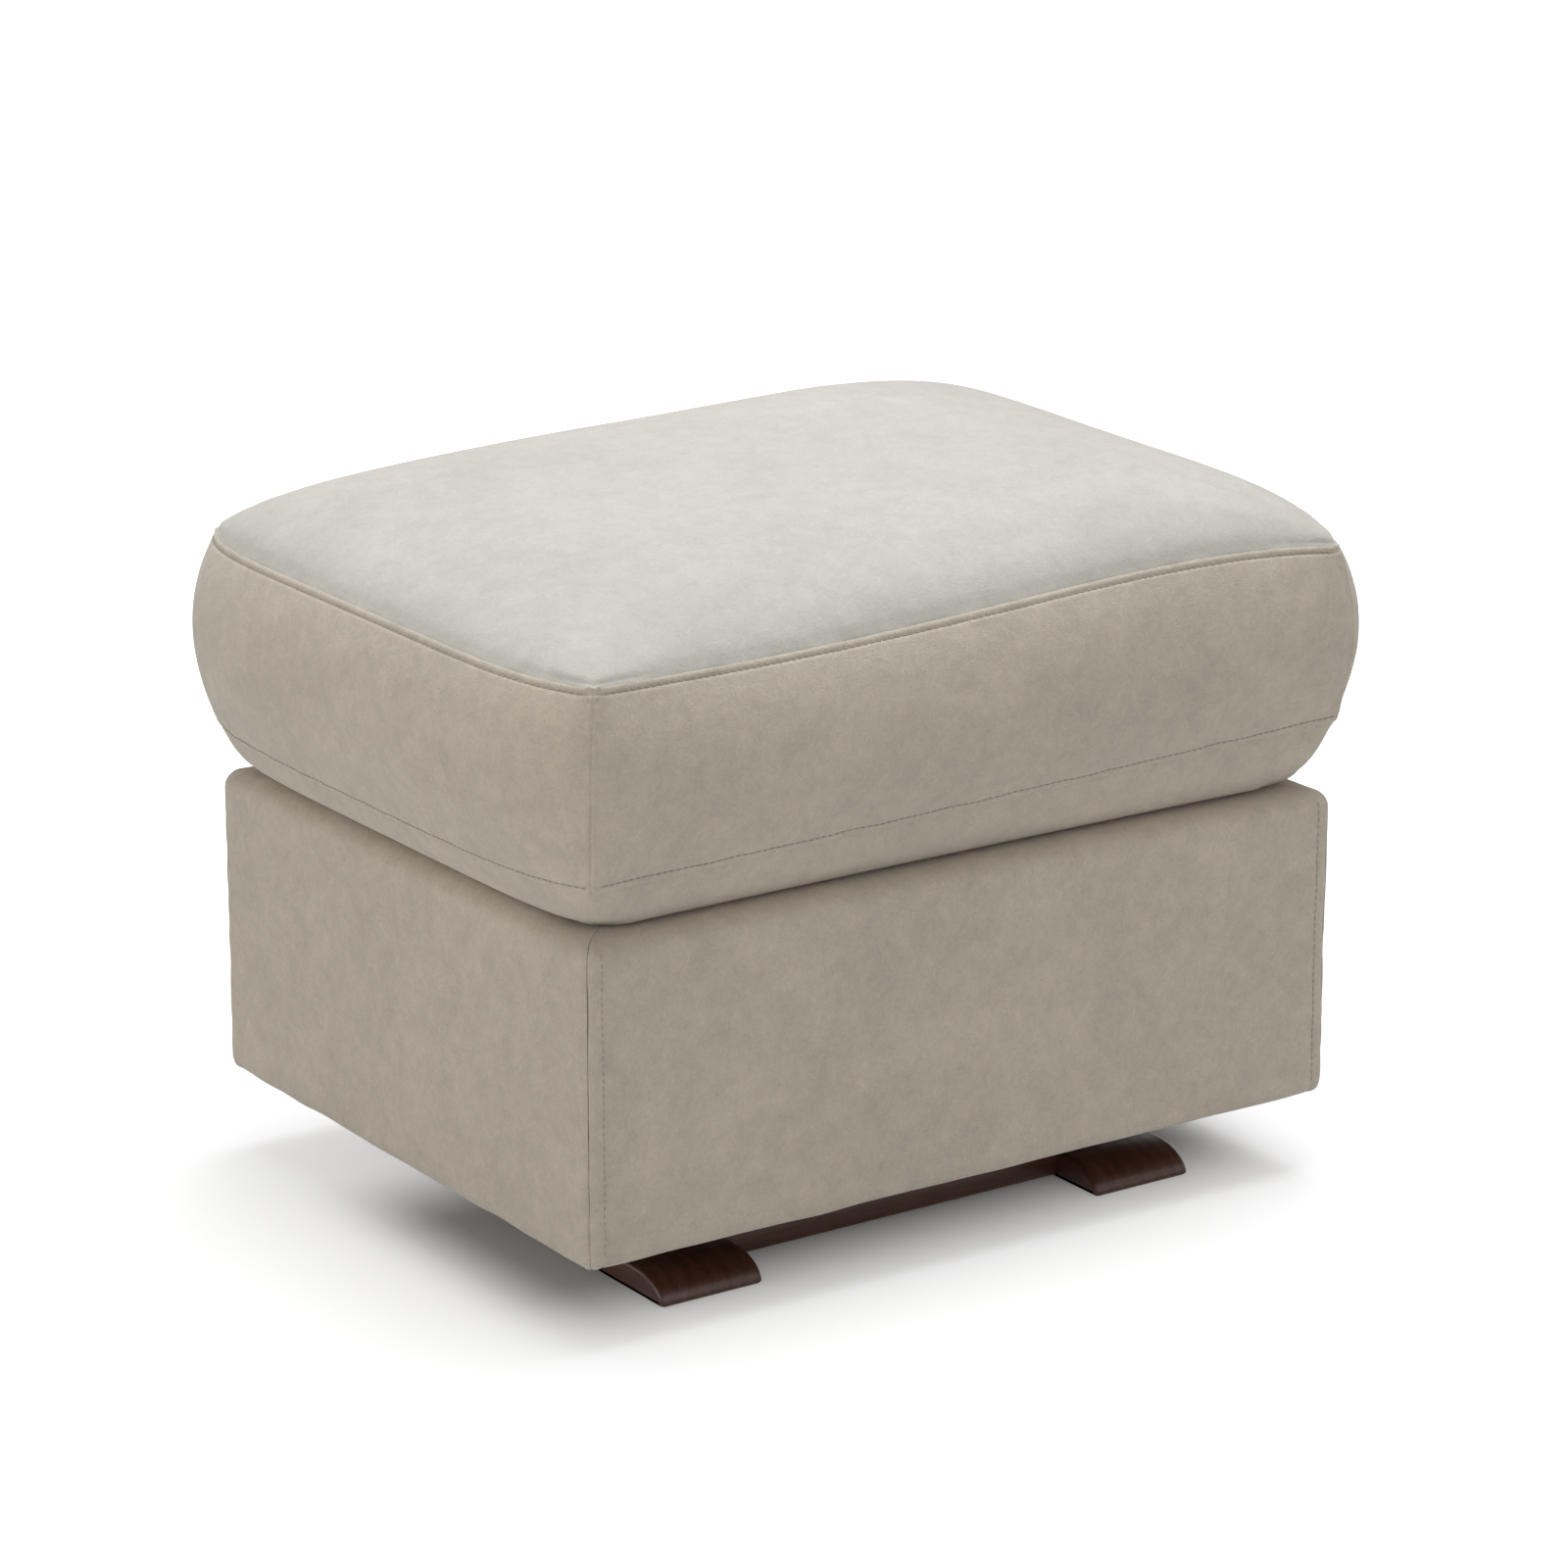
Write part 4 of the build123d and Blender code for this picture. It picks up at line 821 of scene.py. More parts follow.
def blow_up():
    """Cloth with pressure on the coarse cushion; returns how far each welded point moved, in millimetres."""
    bag = mesh_piece("cushion_bag", closed_points, closed_quads)
    normals = read_points(bag.data, "normal")
    seam = np.zeros(len(all_points))
    for name, grid in coarse.items():
        edge = np.zeros(grid.shape[:2])
        edge[0] = edge[-1] = 1
        edge[:, 0] = edge[:, -1] = CORNER_PIN if name in SIDES else 1
        if name == "under":
            edge[grid[:, :, 2] < REST_LEVEL + 3] = 1
        seam[start[name]:start[name] + edge.size] = edge.ravel()
    pin = np.zeros(len(closed_points))
    np.maximum.at(pin, welded, seam)
    inset = closed_points - normals * (START_INSET * (1 - pin))[:, None]
    bag.data.vertices.foreach_set("co", (inset * MM).ravel())
    group = bag.vertex_groups.new(name="pinned")
    loose = bag.vertex_groups.new(name="loose")
    draw = np.random.default_rng(7)
    for index in range(len(closed_points)):
        group.add([index], float(pin[index]), "REPLACE")
        loose.add([index], float(draw.uniform(0.2, 1.0)), "REPLACE")
    cloth = bag.modifiers.new("cloth", "CLOTH")
    settings = cloth.settings
    settings.quality, settings.mass = 6, 0.25
    settings.tension_stiffness = settings.compression_stiffness = 22
    settings.shear_stiffness, settings.bending_stiffness = 8, 0.35
    settings.use_pressure, settings.uniform_pressure_force = True, AIR_PRESSURE
    settings.vertex_group_mass = "pinned"
    settings.shrink_min, settings.shrink_max = 0.0, -SLACK
    settings.vertex_group_shrink = "loose"
    settings.effector_weights.gravity = 0
    cloth.point_cache.frame_start, cloth.point_cache.frame_end = 1, CLOTH_FRAMES
    for number in range(1, CLOTH_FRAMES + 1):
        bpy.context.scene.frame_set(number)
    filled = bag.evaluated_get(bpy.context.evaluated_depsgraph_get()).data
    moved = read_points(filled, "co") / MM - closed_points
    bpy.context.scene.frame_set(1)
    bpy.data.objects.remove(bag, do_unlink=True)
    far = np.linalg.norm(moved, axis=1)
    return moved * np.minimum(1, CLOTH_CAP / np.maximum(far, 1e-9))[:, None]


def fine_part(field, rounds=10, rim=5):
    """A movement without its wide part, which the fitted form already has, fading out towards the seams."""
    wide = field.copy()
    for _ in range(rounds):
        ring = np.pad(wide, ((1, 1), (1, 1), (0, 0)), mode="edge")
        wide = (ring[:-2, 1:-1] + ring[2:, 1:-1] + ring[1:-1, :-2] + ring[1:-1, 2:]) / 4
    from_edge = [np.minimum(np.arange(count), np.arange(count)[::-1]) / rim for count in field.shape[:2]]
    fade = np.minimum(from_edge[0][:, None], from_edge[1][None, :]).clip(0, 1)
    return (field - wide) * (fade * fade * (3 - 2 * fade))[:, :, None]


moved = blow_up()
movement = {
    name: fine_part(moved[welded[start[name]:start[name] + grid[:, :, 0].size]].reshape(grid.shape))
    for name, grid in coarse.items()
}
print("cloth moved up to", np.linalg.norm(moved, axis=1).max().round(2), "mm, and its fine part up to",
      max(np.linalg.norm(field, axis=2).max() for field in movement.values()).round(2), "mm")

# %% [markdown]
# ## From the coarse to the fine panels
# A cubic through four neighbouring rows carries the movement to the rows of the fine grid without showing
# the coarse cells. It is written as a table of weights, once for the rows and once for the columns.

# %% Cubic weights


def cubic_weights(count, places):
    """Weights of count even points for each place, given in steps from 0 to count - 1."""
    places = np.clip(places, 0, count - 1)
    base = np.clip(np.floor(places).astype(int), 0, count - 2)
    f = places - base
    parts = [
        (-f + 2 * f**2 - f**3) / 2,
        (2 - 5 * f**2 + 3 * f**3) / 2,
        (f + 4 * f**2 - 3 * f**3) / 2,
        (-(f**2) + f**3) / 2,
    ]
    table = np.zeros((len(places), count))
    for shift, part in zip((-1, 0, 1, 2), parts):
        np.add.at(table, (np.arange(len(places)), np.clip(base + shift, 0, count - 1)), part)
    return table


def carried(name, row_steps, column_steps):
    """The cloth movement of a panel at fine rows and columns, given from 0 to 1."""
    grid = movement[name]
    rows, columns = (
        cubic_weights(count, steps * (count - 1))
        for count, steps in zip(grid.shape, (row_steps, column_steps))
    )
    return np.einsum("ri,cj,ijk->rck", rows, columns, grid)


def steps_for(points_of, near, step, dense):
    """Those of the dense numbers whose points lie at the wished distances along a line, and its length."""
    length = line_run(points_of(dense))
    return np.interp(spaced(length[-1], near, step), length, dense), length[-1]


def run_length(points, axis):
    """Distance along a grid's rows or columns from their first point."""
    leg = np.linalg.norm(np.diff(points, axis=axis), axis=2)
    first = np.zeros_like(np.take(leg, [0], axis=axis))
    return np.cumsum(np.concatenate([first, leg], axis=axis), axis=axis)


print("weights for a place between points:", cubic_weights(4, np.array([1.5])).round(3))

# %% [markdown]
# ## The top panel
# The panel runs flush into its seam along the sides and sinks beside it near the corners, where the fabric
# is gathered. Short puckers run up from the seam and fade out. Under the upper seam the seam allowance
# makes a firm lip, which lifts the edges of both the panel and the band in the same direction, so that they
# still meet.

# %% Panel tools
FABRIC = 1.2  # thickness in millimetres
STITCH_PITCH = 4.8
LIP = 0.6  # how far the seam allowance lifts the upper seam
PANEL_NEAR = [0, 0.5, 1.1, 1.8, 2.6, 3.5, 4.6, 6.0, 7.8, 10.0, 12.5, 15.2]  # rows beside a panel's seams
ACROSS = np.linspace(-1, 1, 4001)


def seam_puckers(along, away, reach, seed):
    """Small folds that leave a seam at right angles and fade out."""
    small = waves(along, 15.0, seed) * np.exp(-away / (reach * 0.5))
    large = waves(along, 42.0, seed + 1) * np.exp(-((away / reach) ** 1.3))
    return (0.22 * small + 0.42 * large) * (1 - np.exp(-away / 2.5))


def lip_way(points, across_x, across_y, lift=0.6):
    """Where the lip lifts to: a little upwards and away from the sides that are near."""
    way = np.stack([np.sign(points[:, :, 0]) * np.exp(-((across_x / 12) ** 2)),
                    np.sign(points[:, :, 1]) * np.exp(-((across_y / 12) ** 2)),
                    np.full(points.shape[:2], lift)], axis=-1)
    return way / np.linalg.norm(way, axis=2, keepdims=True)


def panel_steps(points_of, step):
    """Step numbers along and across a panel, at the wished distances on its two middle lines."""
    lines = (lambda p: points_of(place_of(p), np.zeros_like(p)),
             lambda p: points_of(np.zeros_like(p), place_of(p)))
    return [steps_for(line, PANEL_NEAR, step, ACROSS)[0] for line in lines]


def panel_runs(grid):
    """Distances of every point from the four seams of a panel: two along its rows, two along its columns."""
    row_run, column_run = run_length(grid, 1), run_length(grid, 0)
    return row_run, row_run[:, -1:] - row_run, column_run, column_run[-1:, :] - column_run


def panel_cut(runs):
    """The size of a panel's cloth in metres, along its two middle lines."""
    rows, columns = runs[0].shape
    return float(runs[0][rows // 2, -1]) * MM, float(runs[2][-1, columns // 2]) * MM


def panel_folds(grid, runs, reach, seed):
    """Puckers that leave all four seams of a panel."""
    along = [grid[:, :, axis] for axis in (1, 1, 0, 0)]
    return sum(seam_puckers(along[n], away, reach, seed + 3 * n) for n, away in enumerate(runs))


def cushion_panel(name, grid, material, node, flat):
    """A finished panel of the cushion from its grid; flat is the size of its cloth."""
    panel = thicken(grid_piece(name, grid), FABRIC)
    tidy(panel, "seat", "cushion_fabric", material, node)
    print(name, grid.shape, "cut", [round(c, 3) for c in flat])


print("panel tools are ready")

# %% Top panel
fine_x, fine_y = panel_steps(top_points, 3.1)
top = top_points(place_of(fine_x)[None, :], place_of(fine_y)[:, None])
runs = panel_runs(top)
away = np.minimum.reduce(runs)
to_corner = np.hypot(CORNER_HIGH[0] - np.abs(top[:, :, 0]), CORNER_HIGH[1] - np.abs(top[:, :, 1]))
roll = -np.exp(-((to_corner / 34.0) ** 2)) * (0.7 * stroke(away, 2.4, 1.7) - 0.4 * stroke(away, 6.5, 3.0))
broad = 0.9 * swells(top[:, :, 0], top[:, :, 1], 150.0, 5) * (1 - np.exp(-away / 40))
uneven = roll + panel_folds(top, runs, 26.0, 40) + broad
lifted = lip_way(top, np.minimum(*runs[:2]), np.minimum(*runs[2:])) * LIP
top = top + carried("top", (fine_y + 1) / 2, (fine_x + 1) / 2)
top = top + facing(top) * uneven[:, :, None] + lifted * np.exp(-((away / 3.4) ** 2))[:, :, None]
# the top panel wears the suede with painted sheen
cushion_panel("cushion_top_cover", top, top_suede_painted_sheen, "cushion_top_panel", panel_cut(runs))

# %% [markdown]
# ## The bands and their topstitching
# Below the upper seam the seam allowance makes a firm lip about 5 mm wide, like a small welt, and a row of
# stitches is sunk beneath it. Above the lower seam there is the same row, but it lies nearly flush. At its
# ends a band meets its neighbours in a plain sunk seam, whose top is gathered in tiny puckers, and between
# the two long seams each corner gives way a little. The relief is a function of the distance to the seam,
# with a small dimple at every stitch.

# %% Bands
BAND_NEAR = [0, 0.4, 0.9, 1.5, 2.2, 3.0, 3.8, 4.4, 4.9, 5.4, 6.0, 6.8, 8.0, 9.6, 11.8, 14.5]
END_NEAR = [0, 0.4, 0.8, 1.3, 1.9, 2.6, 3.6, 5.0]
STITCH_ROW = 4.9  # from the seam to the topstitching
GATHER_PITCH = 6.0  # between the puckers at the end of a band
CORNER_EASE = 3.2  # how far a corner of the bands gives way between the seams


def to_dimple(run, pitch=STITCH_PITCH):
    """Distance to the nearest stitch end along a row."""
    return np.abs((run / pitch) % 1 - 0.5) * pitch


def strip_relief(away, along, seed, puff, depth):
    """Lip, sunk stitch row with dimples, and puckers, by distance from the seam."""
    lip = puff * stroke(away, 2.1, 1.5) + 0.35 * depth * stroke(away, STITCH_ROW + 2.6, 1.9)
    row = depth * (0.8 + 0.65 * stroke(to_dimple(along), 0.0, 0.9)) * stroke(away, STITCH_ROW, 0.85)
    wavy = 0.2 * waves(along, 60.0, seed + 2) * stroke(away, 2.5, 2.5)
    return lip - row + seam_puckers(along, away, 24.0, seed) + wavy


def end_relief(ends, down, seed):
    """Sunk seam at the end of a band, with tiny puckers that fade below its top."""
    gather = stroke(ends, 2.6, 1.8) * np.exp(-down / 34) * np.cos(2 * math.pi * down / GATHER_PITCH)
    sunk = (1.1 + 0.8 * stroke(to_dimple(down, GATHER_PITCH), 0.0, 1.0)) * np.exp(-((ends / 0.9) ** 2))
    return 0.25 * stroke(ends, 2.8, 1.9) - sunk + 0.9 * gather + seam_puckers(down, ends, 16.0, seed)


band_stitches = []
for number, side in enumerate(SIDES):
    s_steps, _ = steps_for(lambda p: band_points(side, place_of(p), np.full_like(p, 0.5)), END_NEAR,
                           STITCH_PITCH / 4, ACROSS)
    t_steps, height = steps_for(lambda t: band_points(side, np.zeros_like(t), t), BAND_NEAR, 3.3,
                                np.linspace(0, 1, 2001))
    band = band_points(side, place_of(s_steps)[None, :], t_steps[:, None])
    up, along = run_length(band, 0), run_length(band, 1)
    down, ends = up[-1:, :] - up, np.minimum(along, along[:, -1:] - along)
    seam = np.minimum(up, down)
    uneven = strip_relief(down, along[-1:], 100 + 10 * number, 0.25, 0.75)
    uneven += strip_relief(up, along[:1], 105 + 10 * number, 0.2, 0.3)
    uneven *= 1 - np.exp(-((ends / 1.2) ** 2))
    uneven += end_relief(ends, down, 107 + 10 * number)
    uneven += 0.9 * (1 - np.exp(-seam / 25)) * swells(along, up, 120.0, 60 + number)
    across = (ends, 0 * ends) if side in LONG_SIDES else (0 * ends, ends)
    lifted = lip_way(band, *across) * (LIP * np.exp(-((down / 3.3) ** 4)))[:, :, None]
    sunk = CORNER_EASE * np.exp(-((ends / 8.5) ** 2)) * (1 - np.exp(-((seam / 13) ** 2)))
    sunk = lip_way(band, *across, lift=0) * sunk[:, :, None]
    band = band + carried(side, t_steps, (s_steps + 1) / 2) - sunk
    out = facing(band)
    band = band + out * uneven[:, :, None] + lifted
    cut = (float(along[len(t_steps) // 2, -1]) * MM, float(height) * MM)
    cushion_panel(f"cushion_{side}_side", band, suede, f"cushion_{side}_band", cut)
    band_stitches.append((band, out, up, down, along))

# %% [markdown]
# ## The underside
# The underside rolls in below the lower seam and lies flat on the box. It is the same kind of grid, with
# its faces turned downwards.

# %% Underside
fine_x, fine_y = panel_steps(under_points, 4.2)
under = under_points(place_of(fine_x)[None, :], place_of(fine_y)[:, None])[:, ::-1]
runs = panel_runs(under)
uneven = 0.25 * stroke(np.minimum.reduce(runs), 3.0, 2.0) + panel_folds(under, runs, 20.0, 70)
under = under + carried("under", (fine_y + 1) / 2, (fine_x + 1) / 2)
free = np.clip((under[:, :, 2] - REST_LEVEL) / 8, 0, 1)
under = under + facing(under) * (uneven * free)[:, :, None]
under[:, :, 2] = np.maximum(under[:, :, 2], REST_LEVEL)
cushion_panel("cushion_under_cover", under, suede, "cushion_underside", panel_cut(runs))

# %% [markdown]
# ## Stitches
# A lockstitch shows as a short bar of thread that dips into the cloth at both ends. One small bar of six
# sides is shaped once in numbers and copied along the rows, so that each stitch costs only a few faces.

# %% Stitch tool
BAR_SIDES, BAR_LENGTH, BAR_RADIUS, ROW_MARGIN = 6, 3.6, 0.42, 5
# the rings of a bar: their share of its length, and their lift and size in radii
BAR_RINGS = ((-0.5, -0.75, 0.45), (-0.34, -0.05, 0.9), (0.0, 0.32, 1.0), (0.34, -0.05, 0.9),
             (0.5, -0.75, 0.45))


def bar_quads():
    """The faces of one bar: its sides, and two halves for each end."""
    last = (len(BAR_RINGS) - 1) * BAR_SIDES
    sides = [
        (ring + n, ring + after, ring + BAR_SIDES + after, ring + BAR_SIDES + n)
        for ring in range(0, last, BAR_SIDES) for n, after in enumerate(np.roll(range(BAR_SIDES), -1))
    ]
    ends = [(3, 2, 1, 0), (0, 5, 4, 3)]
    ends += [tuple(last + n for n in half) for half in ((0, 1, 2, 3), (3, 4, 5, 0))]
    return np.array(sides + ends)


def stitch_row(name, found, slot):
    """Small bars of thread; found lists groups of their middles and their directions along and out."""
    places, along, out = (np.concatenate(part) for part in zip(*found))
    aside = np.cross(along, out)
    turns = np.linspace(0, 2 * math.pi, BAR_SIDES, endpoint=False)
    points = np.stack([
        places + along * (share * BAR_LENGTH) + out * (BAR_RADIUS * (lift + wide * math.sin(turn)))
        + aside * (BAR_RADIUS * wide * math.cos(turn))
        for share, lift, wide in BAR_RINGS for turn in turns
    ], axis=1)
    quads = (bar_quads()[None] + (np.arange(len(places)) * points.shape[1])[:, None, None]).reshape(-1, 4)
    tidy(mesh_piece(name, points.reshape(-1, 3), quads), "seat", slot, thread)
    print(name, len(places), "stitches")


def on_line(places, run, values):
    """Vectors along a line at the wished distances."""
    return np.stack([np.interp(places, run, values[:, k]) for k in range(3)], axis=1)


def of_length_one(vectors):
    """The same directions with length 1."""
    return vectors / np.linalg.norm(vectors, axis=1, keepdims=True)


def row_on_grid(line, out, run, depth):
    """Middles and directions of the stitches along one line of points."""
    wish = np.arange(1, int(run[-1] // STITCH_PITCH) + 1) * STITCH_PITCH
    wish = wish[(wish > ROW_MARGIN) & (wish < run[-1] - ROW_MARGIN)]
    middles, way = on_line(wish, run, line), on_line(wish, run, out)
    ahead = of_length_one(on_line(wish + 1, run, line) - middles)
    way = of_length_one(way - (way * ahead).sum(1, keepdims=True) * ahead)
    return middles + way * depth, ahead, way


print("stitch tool is ready")

# %% Stitches of the cushion
for row_name in ("upper", "lower"):
    found = []
    for band, out, up, down, along in band_stitches:
        distance, run = (down, along[-1]) if row_name == "upper" else (up, along[0])
        picked = np.abs(distance[:, distance.shape[1] // 2] - STITCH_ROW).argmin()
        found.append(row_on_grid(band[picked], out[picked], run, 0.35))
    stitch_row(f"cushion_{row_name}_stitches", found, "cushion_fabric")

# %% [markdown]
# ## The cover of the box
# Four panels are pulled over the wadded box, turned in over its top edge and stapled underneath. A panel is
# a grid again: it runs along the side and, across it, from the turned-in hem over the rounded top edge,
# down the face and round the lower edge. At each upright corner the panels meet in a sunk seam, and on the
# front and rear panels a row of topstitching runs beside it.

# %% Form of the box cover
box_low, box_high = box_mm("front_cover")
HALF_X, HALF_Y = box_high[0], -box_low[1]
BOX_BOTTOM, BOX_TOP = box_low[2], box_high[2]
CORNER_ROUND, TOP_ROUND, LOWER_ROUND, TOP_TURN, LOWER_TURN = 5.5, 12.0, 4.0, 55.0, 30.0
TOPSTITCH = 8.0  # from the corner seam
COVER_NEAR = [0, 0.7, 1.3, 1.9, 2.5, 3.2, 4.2, 6.0, 8.5]
FORWARD = {"front": (1, 0), "right": (0, 1), "rear": (-1, 0), "left": (0, -1)}


def half_sizes(side):
    """Half the length of a side of the box, and how far out it stands."""
    return (HALF_X, HALF_Y) if side in LONG_SIDES else (HALF_Y, HALF_X)


def cover_profile():
    """Rows of the panel as inset from the side and height, and their distance along the cloth."""
    rows = [(inset, BOX_TOP) for inset in np.linspace(TOP_TURN, TOP_ROUND, 14)]
    rows += [(TOP_ROUND * (1 - math.sin(a)), BOX_TOP - TOP_ROUND * (1 - math.cos(a)))
             for a in np.linspace(0, math.pi / 2, 10)[1:]]
    rows += [(0.0, z) for z in np.linspace(BOX_TOP - TOP_ROUND, BOX_BOTTOM + LOWER_ROUND, 60)[1:]]
    rows += [(LOWER_ROUND * (1 - math.cos(a)), BOX_BOTTOM + LOWER_ROUND * (1 - math.sin(a)))
             for a in np.linspace(0, math.pi / 2, 7)[1:]]
    rows += [(inset, BOX_BOTTOM) for inset in np.linspace(LOWER_ROUND, LOWER_TURN, 8)[1:]]
    return np.array(rows), line_run(np.array(rows))


def cover_row(side, inset, arc_shares, straight_shares):
    """One level row of a panel, from one corner's middle to the next, counterclockwise."""
    half_long, half_out = half_sizes(side)
    bend = max(CORNER_ROUND - inset, 0.4)
    reach, out = half_long - inset - bend, half_out - inset
    turn = arc_shares * math.pi / 4
    first, last = (
        np.stack([way * (reach + bend * np.sin(angle)), out - bend + bend * np.cos(angle)], 1)
        for way, angle in ((-1, math.pi / 4 - turn), (1, turn))
    )
    flat = np.stack([-reach + 2 * reach * straight_shares, np.full(len(straight_shares), out)], 1)
    local = np.concatenate([first[:-1], flat, last[1:]])
    forward = np.array(FORWARD[side])
    return local[:, :1] * forward + local[:, 1:] * np.array((forward[1], -forward[0]))


def cover_grid(side, profile, arc_shares, straight_shares):
    """Level rows of a panel, one for each inset and height of the profile."""
    rows = [(cover_row(side, inset, arc_shares, straight_shares), z) for inset, z in profile]
    return np.stack([np.column_stack([row, np.full(len(row), z)]) for row, z in rows])


print("box", HALF_X, HALF_Y, BOX_BOTTOM, BOX_TOP, "mm")

# %% Panels of the box cover
profile, profile_run = cover_profile()
cover_stitches = []
for number, side in enumerate(SIDES):
    half_long = half_sizes(side)[0]
    straight = spaced(2 * (half_long - CORNER_ROUND), COVER_NEAR, 3.1)
    panel = cover_grid(side, profile, np.linspace(0, 1, 8), straight / straight[-1])
    along = run_length(panel, 1)
    middle_row = np.abs(profile[:, 1] - (BOX_TOP + BOX_BOTTOM) / 2).argmin()
    run = np.broadcast_to(along[middle_row], along.shape)
    seam = np.minimum(run, run[:, -1:] - run)
    down = np.broadcast_to(profile_run[:, None], run.shape)
    level = panel[:, :, 2]
    face = np.clip((BOX_TOP - level) / 30, 0, 1) * np.clip((level - BOX_BOTTOM) / 14, 0, 1)
    upright = np.clip((BOX_TOP - level) / 9, 0, 1) * np.clip((level - BOX_BOTTOM) / 6, 0, 1)
    lift = 1.0 + 2.0 * upright - 0.3 * np.exp(-((seam / 0.9) ** 2)) + 0.25 * stroke(seam, 3.6, 2.6)
    if side in LONG_SIDES:
        dimples = 0.4 + 0.35 * stroke(to_dimple(down), 0.0, 0.9)
        lift -= dimples * stroke(seam, TOPSTITCH, 1.0) * (level < BOX_TOP - 1)
    lift += 0.35 * waves(down, 34.0, 200 + number) * np.exp(-seam / 16)
    lift += 0.9 * face * swells(run, down, 190.0, 210 + number)
    lift += 0.3 * face * swells(run, down, 55.0, 220 + number)
    hem = np.exp(-np.clip(level - BOX_BOTTOM, 0, 99) / 14) * (profile[:, :1] < LOWER_ROUND + 1)
    lift += 0.3 * hem * waves(run, 75.0, 230 + number)
    out = -facing(panel)
    panel = panel + out * lift[:, :, None]
    panel[:, :, 2] -= 0.3 * hem * waves(run, 110.0, 240 + number)
    piece = thicken(grid_piece(f"box_{side}_cover", panel, turned=True), 1.3)
    tidy(piece, "seat", "box_fabric", suede, f"{side}_cover")
    cut = (2 * half_long * MM, float(profile_run[-1]) * MM)
    if side in LONG_SIDES:
        cover_stitches.append((side, panel, out, run))
    print(piece.name, panel.shape, "cut", [round(c, 3) for c in cut])

# %% Topstitching of the box
for side, panel, out, run in cover_stitches:
    found = []
    for from_end in (run[0], run[0, -1] - run[0]):
        column = np.abs(from_end - TOPSTITCH).argmin()
        line, way = panel[:, column], out[:, column]
        shown = (line[:, 2] < BOX_TOP - 0.8) & (line[:, 2] > BOX_BOTTOM + 0.8)
        length = profile_run[shown] - profile_run[shown][0]
        found.append(row_on_grid(line[shown], way[shown], length, 0.2))
    stitch_row(f"box_{side}_stitches", found, "box_fabric")

# %% [markdown]
# ## What fills the cushion
# Inside the covers lie a fibre wrap and a foam core. The wrap follows the covers a few millimetres inside
# them, so the coarse cushion is drawn in along its normals, a little more at its corners, and given a wall.
# The core is a cut block of foam with sawn, slightly rounded edges.

# %% Wrap and core of the cushion
WRAP_INSET, WRAP_WALL = 7.5, 11.0
CORNER_INSET, CORNER_REACH = 8.0, 40.0  # how much further it is drawn in at the corners
wrap = mesh_piece("cushion_padding", closed_points, closed_quads)
lofty = 0.6 * swells(closed_points[:, 0], closed_points[:, 1] + closed_points[:, 2], 45.0, 300)
drawn_in = closed_points - read_points(wrap.data, "normal") * (WRAP_INSET + lofty)[:, None]
from_corner = np.linalg.norm(np.abs(closed_points[:, :2]) - CORNER_LOW, axis=1)
further = CORNER_INSET * np.exp(-((from_corner / CORNER_REACH) ** 2))
drawn_in[:, :2] -= np.sign(closed_points[:, :2]) * further[:, None]
wrap.data.vertices.foreach_set("co", (drawn_in * MM).ravel())
wrap.data.update()
thicken(wrap, WRAP_WALL)
tidy(wrap, "seat", "wadding", wadding, "cushion_wrap")

core_low, core_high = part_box("cushion_foam")
core = start_block("cushion_core", core_low, core_high)
pick_edges(core, lambda middle, along: abs(along.z) > 0.01)
bpy.ops.mesh.bevel(offset=0.04, segments=8, profile=0.5, affect="EDGES")
bpy.ops.object.mode_set(mode="OBJECT")
ease_edges(core, 0.012, 4, 60)
tidy(core, "seat", "foam", foam, "cushion_foam")
print("wrap", len(wrap.data.vertices), "core", len(core.data.vertices), "points")

# %% [markdown]
# ## Wadding, deck pad and deck cloth
# Polyester wadding lies between the cover of the box and its boards. A thin foam pad covers the springs,
# which press shallow dents into it from below, and a plain cloth closes the deck between the turned-in
# edges of the cover. Two strips of loop tape on the deck and two of hook tape under the cushion hold it in
# place.

# %% Wadding of the box
for number, side in enumerate(SIDES):
    low, high = box_mm(f"{side}_padding")
    rows = [(3.1, z) for z in np.linspace(low[2] + 1.0, high[2] - 0.2, 30)]
    slab = cover_grid(side, rows, np.linspace(0, 1, 6), np.linspace(0, 1, 70))
    tuft = swells(run_length(slab, 1), slab[:, :, 2], 28.0, 310 + number)
    slab = slab - facing(slab) * (0.3 + 0.3 * tuft)[:, :, None]
    piece = thicken(grid_piece(f"box_{side}_wadding", slab), 6.0)
    tidy(piece, "seat", "wadding", wadding, f"{side}_padding")
    print(piece.name, len(piece.data.vertices), "points")

# %% Deck pad
SPRING_COUNT, SPRING_MARGIN, DENT_WIDTH = 5, 26.6, 24.0
pad_low, pad_high = box_mm("deck_pad")
spring_low, spring_high = box_mm("deck_springs")
pad_x, pad_y = np.broadcast_arrays(np.linspace(pad_low[0] + 2.0, pad_high[0] - 2.0, 150)[None, :],
                                   np.linspace(pad_low[1] + 2.0, pad_high[1] - 2.0, 120)[:, None])
over_edge = np.hypot(np.maximum(np.abs(pad_x) - (HALF_X - TOP_ROUND), 0),
                     np.maximum(np.abs(pad_y) - (HALF_Y - TOP_ROUND), 0))
rolled_edge = BOX_TOP - TOP_ROUND + np.sqrt(np.maximum((TOP_ROUND - 2.6) ** 2 - over_edge**2, 1.5))
to_edge = np.minimum(pad_high[0] - np.abs(pad_x), pad_high[1] - np.abs(pad_y))
springs = np.linspace(spring_low[0] + SPRING_MARGIN, spring_high[0] - SPRING_MARGIN, SPRING_COUNT)
over_spring = sum(stroke(pad_x, middle, DENT_WIDTH) for middle in springs) * (np.abs(pad_y) < spring_high[1])
soft = 0.25 * swells(pad_x, pad_y, 30.0, 320) * (1 - np.exp(-to_edge / 20))
